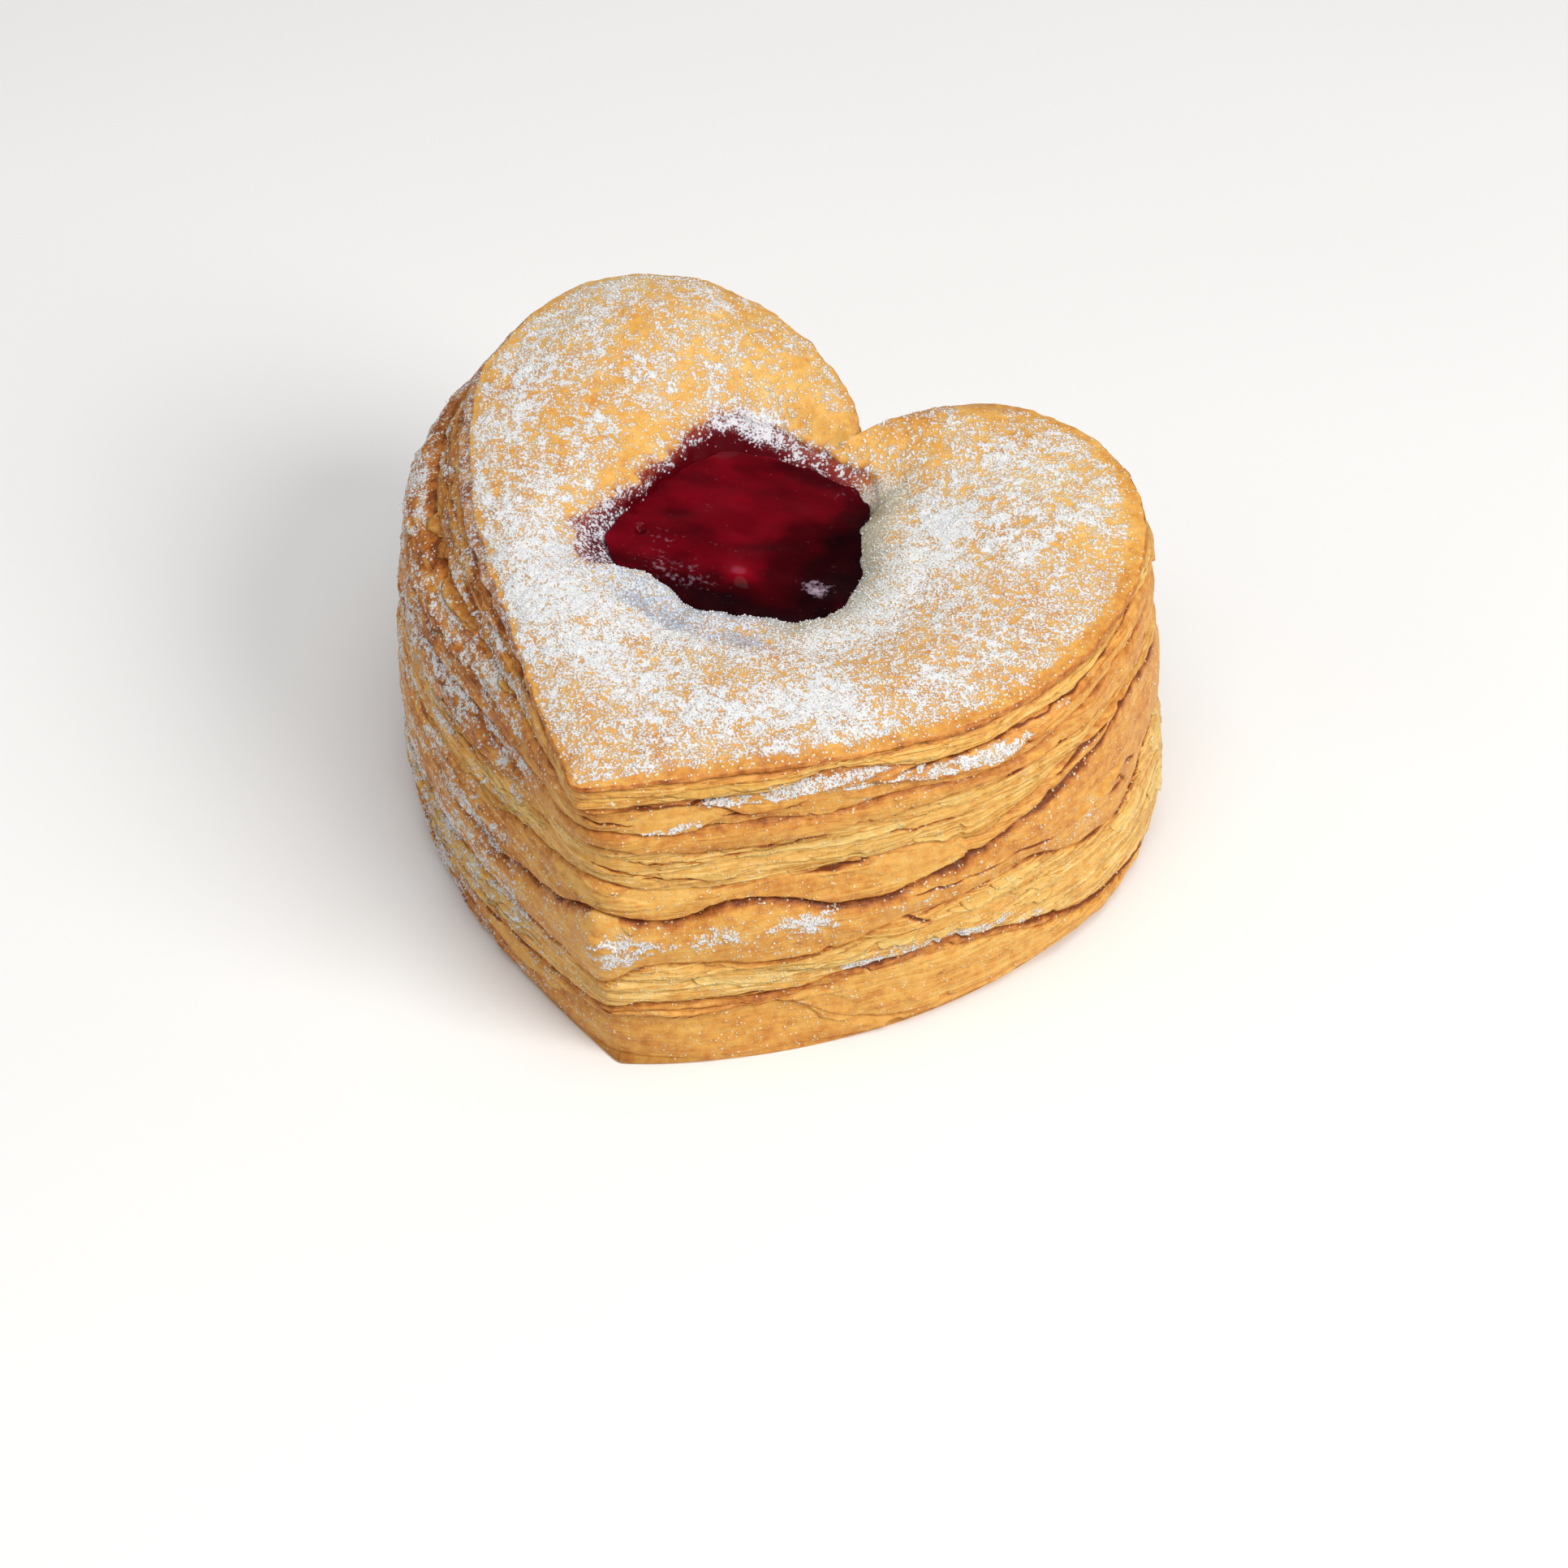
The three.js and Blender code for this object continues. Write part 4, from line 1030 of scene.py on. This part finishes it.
def middle_point(height):
    """A ring drawn in to one point in the middle of the well."""
    return np.tile([WELL["x"], WELL["y"], height], (COLUMNS, 1))


closed_tier(
    "pastry_lower_tier", rows, rings,
    [middle_point(WELL_FLOOR), ring(well_edge(-2.5), WELL_FLOOR), tuck(lower_top - 0.6, 0.8),
     tuck(lower_top - 0.2, 0.35), side(lower_top - 0.02, -3.6)],
    [side(lower_end - SEAM, -1.8), tuck(lower_end - 0.2, 0.4), middle_point(TIER_FLOOR)], capped=True)

# ------------------------------------------------------------------------------------------
# The foot: two thin leaves pressed together, and the sheet that baked on the tray, pale where
# it rose and golden brown where it touched the metal.
# ------------------------------------------------------------------------------------------

FOOT_LEAVES = (
    {"edge": ((0, 9.4), (0.1, 9.9), (0.2, 8), (0.3, 7.4), (0.38, 7.4), (0.44, 7.8), (0.48, 9), (0.5, 10.2),
              (0.585, 10.1), (0.6, 11), (0.66, 11), (0.68, 9.3), (0.7, 6.9), (0.72, 4.8), (0.75, 3.6),
              (0.8, 3), (0.86, 5), (0.93, 8)),
     "reach": (-0.3, 0.5), "belly": 0.1, "shoulder": 0.3, "toast": (0.5, 0.5), "leafing": 0.3,
     "dark": ((0, 0.4), (0.6, 0.3), (0.67, 0.4), (0.71, 0.9), (0.8, 0.9), (0.88, 0.4)), "dark_width": 0.8,
     "spacing": 0.8, "blunt": 0.3, "rows": 12},
    {"edge": ((0, 7.8), (0.1, 8.2), (0.2, 6.4), (0.3, 5.6), (0.38, 5), (0.42, 4.6), (0.45, 5), (0.48, 8),
              (0.5, 9.4), (0.54, 8.9), (0.58, 8.7), (0.59, 7), (0.6, 5), (0.61, 3.8), (0.625, 2.4),
              (0.65, 2), (0.7, 2), (0.8, 2), (0.86, 3.4), (0.93, 6)),
     "reach": (-0.3, 0.5), "belly": 0.2, "shoulder": 0.3, "toast": (0.34, 0.42), "leafing": 0.4,
     "spacing": 1.4, "blunt": 0.4, "rows": 26},
    # The sheet that baked on the tray: the top of its front is painted darker, as shade under the leaves
    # above it.
    {"edge": ((0, 0.9), (0.5, 0.9)),
     "reach": (-0.15, -0.1), "belly": 0.35, "shoulder": 0.3,
     "toast": ((0.5, 0.22, 0.3, 0.46), (0.54, 0.48, 0.56, 0.76)), "leafing": 0.2,
     "spacing": 2.2, "blunt": 0.8, "rows": 40},
)
FOOT_FLAPS = (
    (0.597, 6.4, 0.012, 3.0, 0.7, 0.45, 1.6), (0.44, 5.6, 0.03, 1.9, 0.6, 0.3, 0),
    (0.96, 5, 0.03, 1.6, 0.5, 0.45, 0.3), (0.77, 9, 0.03, 1.8, 0.4, 0.3, 0.3),
    (0.22, 5, 0.03, 1.6, 0.5, 0.4, 0.4), (0.35, 5, 0.02, 1.3, 0.5, 0.4, -0.3),
)
FOOT_SLITS = (
    (0.54, 8.8, 0.583, 8.9, 0.6, 0.18), (0.5, 9.6, 0.54, 9.0, 0.4, 0.16),
    (0.42, 8.5, 0.46, 8.4, 0.5, 0.18),
)
FOOT_CAUGHT = (
    (0.56, 9.0, 0.02, 0.4, 0.3), (0.44, 9, 0.03, 0.8, 0.4), (0.54, 3, 0.05, 3, 0.05),
    (0.515, 5, 0.02, 2.5, 0.1), (0.37, 6, 0.05, 3, 0.45),
)

rows = tier(FOOT_LEAVES, lower_end - SEAM, seed=600)
lift_flaps(rows, FOOT_FLAPS, FOOT_SLITS, seed=620)
rings = catch_sugar(rows, FOOT_CAUGHT, seed=630, veil=0.15)
foot_top = rows["height"][0]
foot_line = side(np.zeros(COLUMNS), -1.0)
closed_tier(
    "pastry_foot", rows, rings,
    [middle_point(TIER_FLOOR), tuck(foot_top - 0.2, 0.4), side(foot_top - 0.02, -1.9)],
    [side(np.full(COLUMNS, 0.3), -0.45), foot_line, foot_line * 0.6 + middle_point(0) * 0.4,
     middle_point(0)], capped=True)

# ------------------------------------------------------------------------------------------
# Torn leaves: paper-thin leaves of baked dough that peeled off the side. Each hangs from the
# side by its upper edge, is pointed at both ends, and curls away at its ragged lower edge.
# ------------------------------------------------------------------------------------------

TORN_PER_TIER = 64
TORN_POINTS = 17  # points along each torn leaf
TORN_DOWN = 6  # points down each of its two faces
LEAF_THICKNESS = 0.1  # mm


def torn_leaf(rings, facts, draw):
    """Points and facts of one torn leaf, from the patch of the side that it peeled off."""
    rows_here = rings.shape[0]
    length, drop = draw.integers(8, 28), draw.uniform(3, 8)  # in columns each way, and in rows
    leafy = np.flatnonzero(facts["leafing"][:-10, 0] > 0.5)  # rows where the thin leaves show
    first = draw.choice(leafy)
    middle_column = draw.integers(40, 440) + draw.choice((0, COLUMNS // 2))  # clear of the tip and notch
    s = np.linspace(-1, 1, TORN_POINTS)[:, None]  # places along it, from point to point
    ragged = np.sin(s * draw.uniform(2, 6) + draw.uniform(0, 6)) + 0.4 * draw.uniform(-1, 1, (TORN_POINTS, 1))
    outline = np.sqrt(1 - s ** 2) * (1 + 0.25 * ragged)
    down = np.linspace(0, 1, TORN_DOWN)
    down = np.r_[down, down[::-1]][None]
    columns = (middle_column + np.rint(s * length).astype(int)) % COLUMNS + 0 * down.astype(int)
    row = np.clip(np.rint(first + down * drop * outline).astype(int), 0, rows_here - 1)
    lift = draw.uniform(0.05, 0.35) * down ** 2.4 * outline + 0.02
    face = np.r_[np.full(TORN_DOWN, 1.0), np.zeros(TORN_DOWN)][None] * LEAF_THICKNESS * np.minimum(outline, 1)
    points = rings[row, columns].copy()
    points[..., :2] += outward[columns] * (lift + face)[..., None]
    # paler towards its curled lower edge, partly the thin dough's own colour and partly a painted glow of
    # light through it
    tone = facts["toast"][row, columns] * 0.9 + draw.uniform(-0.1, 0.1) - 0.14 * down ** 3
    return points, {"toast": tone, "dusting": facts["dusting"][row, columns] * 0.8,
                    "leafing": 0.25 + 0 * lift, "leaf_height": points[..., 2]}


def joined_sheets(name, sheets):
    """One mesh of many small closed sheets, each a grid whose long edges and ends are welded."""
    count, across = sheets[0][0].shape[:2]
    bm = bmesh.new()
    bmesh.ops.create_grid(bm, x_segments=across, y_segments=count - 1, size=1)
    faces = np.array([[v.index for v in f.verts] for f in bm.faces])
    bm.free()
    size = count * (across + 1)
    points = np.concatenate([come_round(points).reshape(-1, 3) for points, _ in sheets])
    points[:, :2] += CUTTER_MIDDLE
    index = faces[None] + (np.arange(len(sheets)) * size)[:, None, None]
    mesh = bpy.data.meshes.new(name)
    mesh.from_pydata((points * MM).tolist(), [], index.reshape(-1, 4).tolist())
    for key in sheets[0][1]:
        paint(mesh, key, np.concatenate([come_round(facts[key]) for _, facts in sheets]))
    weld(mesh, 1e-7)
    return add_piece(name, mesh)


draw = np.random.default_rng(21)
sheets = []
for tier_rings, tier_facts in tiers[:3]:  # the foot has none
    for _ in range(TORN_PER_TIER):
        sheets.append(torn_leaf(tier_rings, tier_facts, draw))
torn = joined_sheets("torn_leaves", sheets)
torn.data.materials.append(pastry)
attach(torn, "root")

# ------------------------------------------------------------------------------------------
# The jam: boiled dark red fruit jam, poured hot into the well. It set with a smooth, wet skin
# over soft lumps of fruit, and stands a few millimetres under the lip, highest at the left.
# ------------------------------------------------------------------------------------------

JAM_COLUMNS = 480
JAM_ROWS = 92
JAM_FLOOR = 15.5
# The hidden rings under the jam, as (height, share of the way out to the well's wall).
JAM_BELOW = ((JAM_FLOOR, 0.0), (JAM_FLOOR, 0.84), (30.0, 0.9), (43.6, 0.96))

jam_angle = np.arange(JAM_COLUMNS) / JAM_COLUMNS * 2 * math.pi
jam_edge = well_edge(0.35, jam_angle)
middle = np.array([WELL["x"], WELL["y"]])
jam_rows = []
for height, size in JAM_BELOW:
    jam_rows.append(ring(middle + (jam_edge - middle) * size, height))
for size in steps(1.0, 0.0, JAM_ROWS, 0.25):
    xy = middle + (jam_edge - middle) * size
    level = JAM_LEVEL["middle"] + (xy - middle) @ (JAM_LEVEL["east"], JAM_LEVEL["north"])
    jam_rows.append(ring(xy, level))
jam_rings = np.stack(jam_rows)
jx, jy = jam_rings[..., 0], jam_rings[..., 1]
# Lumps of fruit under the skin: x, y, half width, half length, height.
JAM_LUMPS = (
    (1.0, -0.9, 2.4, 1.8, 0.9), (-9, 6, 7, 5, 0.5), (3, 14, 7, 5, 0.5), (-6, 22, 6, 4, 0.4),
    (10, 8, 4, 5, -0.5), (4, 5, 4, 3, 0.35), (-14, 14, 5, 6, 0.3), (7, -4, 5, 2.5, -0.4),
    (-15.6, 1.2, 0.8, 0.8, -0.9),
)
lumps = blobs(JAM_LUMPS, jx, jy) + 0.45 * cloud(jx, jy, 0.3, 9, 51, 2)
drawn_out = cloud(jx * 0.4 + jy * 0.2, jy - 0.25 * jx, 0.9, 3.6, 52, 2)
jam_relief = lumps + 0.05 * drawn_out + 0.015 * cloud(jx, jy, 0.2, 1.6, 53, 2)
on_surface = np.arange(len(jam_rows))[:, None] >= len(JAM_BELOW)
jam_rings[..., 2] += np.where(on_surface, jam_relief, 0)
# How dark the jam is painted, carried by its depth: darker along the right and front lips, most of
# that a painted shadow of the lips, and lighter on its raised lumps and at its middle, with a painted
# highlight on the big lump at the front.
JAM_PAINTED_SHADOW = ((12, 12, 5, 10, 0.85), (13, 2, 5, 8, 0.65), (4, 6, 4, 7, 0.4), (7, -8, 14, 4.5, 1.1),
            (-11, 3, 5, 8, 0.05), (0, 21, 14, 3, 0.2))
JAM_HIGHLIGHT_AND_LIGHT_MIDDLE = ((0.9, -0.2, 2.2, 1.8, 0.5), (-1, 6, 5, 7, 0.18))
jam_depth_and_painted_light = 0.72 + 0.15 * lumps + 0.22 * drawn_out + blobs(JAM_HIGHLIGHT_AND_LIGHT_MIDDLE, jx, jy) - blobs(JAM_PAINTED_SHADOW, jx, jy)
jam_depth_and_painted_light = np.where(on_surface, np.clip(jam_depth_and_painted_light, 0, 1.4), 0)
# Icing sugar that fell on the jam: x, y, half width, half length, how much.
JAM_SUGAR = (
    (11.1, 2.6, 2.0, 1.5, 2.2), (11.5, 17, 1.6, 1.6, 0.6), (-7, -4.2, 6, 2.6, 0.75),
    (-12, 0, 4, 3, 0.32), (-2, 26, 8, 3, 0.4), (8, 24, 5, 4, 0.35), (-3, 3, 4, 1, 0.25),
)
jam_sugar = np.clip(0.05 + blobs(JAM_SUGAR, jx, jy) + 0.12 * cloud(jx, jy, 0.5, 3, 54, 2), 0, 1)
jam = shell("jam_filling_surface", jam_rings, {
    "depth": jam_depth_and_painted_light, "dusting": np.where(on_surface, jam_sugar, 0.0)}, capped=True, strips=3)

# Boiled fruit and sugar: nearly black where it is deep and under the painted shadow of the lips,
# dark red where light gets through, a pinkish red at the top of its colours for the painted
# highlight, and smooth enough to mirror the lamps. Sugar that fell on it half dissolved to a dull pink.
JAM_COLOURS = ((0.0, "#140103"), (0.4, "#3a0106"), (0.85, "#780415"), (1.0, "#8a2c3e"))
DISSOLVED_SUGAR = "#b49cae"
JAM_PULP = 4.5  # mm across the pulp of the fruit
DISSOLVED_GRAIN = 0.8  # mm across the patches that the sugar dissolved in


def fruit_jam():
    material, tree = new_material("dark_red_fruit_jam")
    place = node(tree, "ShaderNodeTexCoord").outputs["Object"]
    # the depth painted on the jam carries the painted shadow of the lips and the painted highlight on the big
    # lump
    depth = Amount(node(tree, "ShaderNodeAttribute", {"attribute_name": "depth"}).outputs["Fac"])
    dusting = Amount(node(tree, "ShaderNodeAttribute", {"attribute_name": "dusting"}).outputs["Fac"])
    pulp = Amount(node(tree, "ShaderNodeTexNoise", Vector=place, Scale=1 / (JAM_PULP * MM),
                       Detail=4.0).outputs["Fac"])
    tone = (depth * 0.75 + (pulp - 0.4) * 0.4).clamped()
    colour = node(tree, "ShaderNodeValToRGB", {"stops": JAM_COLOURS}, Fac=tone).outputs[0]
    grain = Amount(node(tree, "ShaderNodeTexNoise", Vector=place, Scale=1 / (DISSOLVED_GRAIN * MM),
                        Detail=3.0).outputs["Fac"])
    cover = ((grain + dusting * 0.3 - 0.7) * 4.0).clamped()
    cover = cover * (dusting ** 2.0 * 0.6 + 0.16)
    skin = node(tree, "ShaderNodeMix", {"data_type": "RGBA"}, Factor=cover, i6=colour,
                i7=srgb(DISSOLVED_SUGAR)).outputs[2]
    bump = node(tree, "ShaderNodeBump", Height=pulp, Strength=0.12, Distance=0.3 * MM).outputs[0]
    shader = node(tree, "ShaderNodeBsdfPrincipled", Base_Color=skin, Roughness=0.12, Normal=bump, IOR=1.4,
                  Specular_IOR_Level=0.08, Subsurface_Weight=0.15, Subsurface_Radius=(1.0, 0.15, 0.1),
                  Subsurface_Scale=2 * MM)
    node(tree, "ShaderNodeOutputMaterial", Surface=shader.outputs[0])
    return material


jam.data.materials.append(fruit_jam())
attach(jam, "root")
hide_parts("jam_filling")

# ------------------------------------------------------------------------------------------
# Loose icing sugar: the grains that sit on top of the dusting, clumped by the damp air. Most lie
# on the lid, and the rest on the leaves that stand out from the side.
# ------------------------------------------------------------------------------------------

GRAIN_COUNT = 16000
GRAIN_RADIUS = (0.09, 0.2)  # the smallest and the largest
GRAIN_LIFT = 0.03  # how far the middle of a grain is above what it lies on


def loose_grains(name, spots, sizes, seed):
    """Little eight-sided grains at the given points, turned at random, as one mesh."""
    draw = np.random.default_rng(seed)
    bm = bmesh.new()
    bmesh.ops.create_uvsphere(bm, u_segments=4, v_segments=2, radius=1)
    bm.verts.ensure_lookup_table()
    form = np.array([v.co for v in bm.verts])
    faces = np.array([[v.index for v in f.verts] for f in bm.faces])
    bm.free()
    count = len(spots)
    turn = draw.uniform(0, 2 * math.pi, count)
    tilt = draw.uniform(-0.6, 0.6, count)
    stretch = draw.uniform(0.7, 1.3, (count, 1, 3))
    points = form[None] * stretch * sizes[:, None, None]
    c, s = np.cos(turn)[:, None], np.sin(turn)[:, None]
    x, y = points[..., 0] * c - points[..., 1] * s, points[..., 0] * s + points[..., 1] * c
    z = points[..., 2] + x * tilt[:, None]
    points = np.stack([x, y, z], -1) + spots[:, None]
    points[..., :2] += CUTTER_MIDDLE
    mesh = bpy.data.meshes.new(name)
    index = faces[None] + (np.arange(count) * len(form))[:, None, None]
    mesh.from_pydata((points * MM).reshape(-1, 3), [], index.reshape(-1, 3).tolist())
    mesh.shade_smooth()
    return add_piece(name, mesh)


def scatter(rings, weight, count, draw):
    """Random points on a grid of rings, more of them where the weight is high."""
    down, across = np.gradient(rings, axis=0), np.roll(rings, -1, axis=1) - rings
    area = np.linalg.norm(np.cross(down, across), axis=-1)
    chance = (weight * area).ravel()
    pick = draw.choice(chance.size, count, p=chance / chance.sum())
    row, column = np.unravel_index(pick, weight.shape)
    spots = rings[row, column] + down[row, column] * draw.uniform(-0.5, 0.5, (count, 1))
    spots = spots + across[row, column] * draw.uniform(0, 1, (count, 1))
    return spots + facing(rings)[row, column] * GRAIN_LIFT


draw = np.random.default_rng(7)
lid_weight = np.where(on_top, np.clip(lid_sugar - 0.1, 0, 1) ** 1.3 * (1 - 0.85 * damp), 0)
grain_spots = [scatter(lid_rings, lid_weight, GRAIN_COUNT * 5 // 8, draw)]
for tier_rings, tier_facts in tiers:
    weight = np.clip(tier_facts["dusting"] - 0.2, 0, 1) ** 1.3
    grain_spots.append(scatter(tier_rings, weight, GRAIN_COUNT * 3 // 32, draw))
grain_spots = np.concatenate(grain_spots)
grain_sizes = draw.uniform(*GRAIN_RADIUS, len(grain_spots))
grains = loose_grains("icing_sugar_grains", grain_spots, grain_sizes, seed=8)

# Icing sugar: sugar ground to a fine powder, a matt white with a shade between its clumps.
SUGAR_COLOURS = ((0.3, "#d8d8d8"), (0.7, "#e4e4e4"))
CLUMP_SHADE = 1.5  # mm across a shade


def icing_sugar():
    material, tree = new_material("icing_sugar")
    place = node(tree, "ShaderNodeTexCoord").outputs["Object"]
    shade = node(tree, "ShaderNodeTexNoise", Vector=place, Scale=1 / (CLUMP_SHADE * MM), Detail=2.0)
    colour = node(tree, "ShaderNodeValToRGB", {"stops": SUGAR_COLOURS}, Fac=shade.outputs["Fac"]).outputs[0]
    shader = node(tree, "ShaderNodeBsdfPrincipled", Base_Color=colour, Roughness=0.85, IOR=1.5)
    node(tree, "ShaderNodeOutputMaterial", Surface=shader.outputs[0])
    return material


grains.data.materials.append(icing_sugar())
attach(grains, "root")

# ------------------------------------------------------------------------------------------
# The stage: a plain pale table, a soft lamp at the right like a window, a weak one at the left
# that fills the shadows, a broad one overhead, and a pale sky.
# ------------------------------------------------------------------------------------------

TABLE_HALF_WIDTH = 3.0  # metres
LIT_PLACE = (0, 0, 0.03)  # the middle of the pastry, which the lamps point at
SKY_STRENGTH = 0.24
# Matt laminate, very slightly mottled.
TABLE_COLOURS = ((0.2, "#e6e6e5"), (0.8, "#eaeae9"))
TABLE_MOTTLE = 0.2  # metres across a patch

bm = bmesh.new()
bmesh.ops.create_grid(bm, x_segments=1, y_segments=1, size=TABLE_HALF_WIDTH)
table_mesh = bpy.data.meshes.new("table")
bm.to_mesh(table_mesh)
bm.free()
table = add_piece("table", table_mesh)
table_material, tree = new_material("pale_matt_laminate")
mottling = node(tree, "ShaderNodeTexNoise", Scale=2 * TABLE_HALF_WIDTH / TABLE_MOTTLE).outputs["Fac"]
table_colour = node(tree, "ShaderNodeValToRGB", {"stops": TABLE_COLOURS}, Fac=mottling).outputs[0]
table_shader = node(tree, "ShaderNodeBsdfPrincipled", Base_Color=table_colour, Roughness=0.6)
node(tree, "ShaderNodeOutputMaterial", Surface=table_shader.outputs[0])
table_mesh.materials.append(table_material)


def lamp(name, place, size, power, colour):
    """A round soft lamp that points at the pastry."""
    light = bpy.data.lights.new(name, "AREA")
    light.shape = "DISK"
    light.size = size
    light.energy = power
    light.color = srgb(colour)[:3]
    lit = bpy.data.objects.new(name, light)
    lit.location = place
    lit.rotation_euler = (Vector(LIT_PLACE) - Vector(place)).to_track_quat("-Z", "Y").to_euler()
    bpy.context.scene.collection.objects.link(lit)


lamp("window", (0.85, -0.12, 0.7), size=0.6, power=10.0, colour="#fffcf8")
lamp("fill", (-0.75, -0.5, 0.45), size=0.6, power=1.7, colour="#fff8ef")
lamp("ceiling", (0.15, -0.25, 1.3), size=1.2, power=10.5, colour="#ffffff")

scene = bpy.context.scene
scene.world = bpy.data.worlds.new("studio")
scene.world.use_nodes = True
sky = scene.world.node_tree.nodes["Background"]
sky.inputs["Color"].default_value = srgb("#f6f8fc")
sky.inputs["Strength"].default_value = SKY_STRENGTH
scene.view_settings.view_transform = "Standard"

# ------------------------------------------------------------------------------------------
# The camera: a long lens that looks down on the pastry from the front and a little from the
# right, at about 43 degrees.
# ------------------------------------------------------------------------------------------

SENSOR_WIDTH = 36.0
LENS = 83.85
CAMERA_PLACE = (0.185645, -0.331255, 0.363336)
CAMERA_AIM = (0.003659, 0.011013, 0.0)

camera_data = bpy.data.cameras.new("camera")
camera_data.sensor_width = SENSOR_WIDTH
camera_data.lens = LENS
camera_data.clip_start = 0.01
camera = bpy.data.objects.new("camera", camera_data)
camera.location = CAMERA_PLACE
camera.rotation_euler = (Vector(CAMERA_AIM) - camera.location).to_track_quat("-Z", "Y").to_euler()
scene.collection.objects.link(camera)
scene.camera = camera
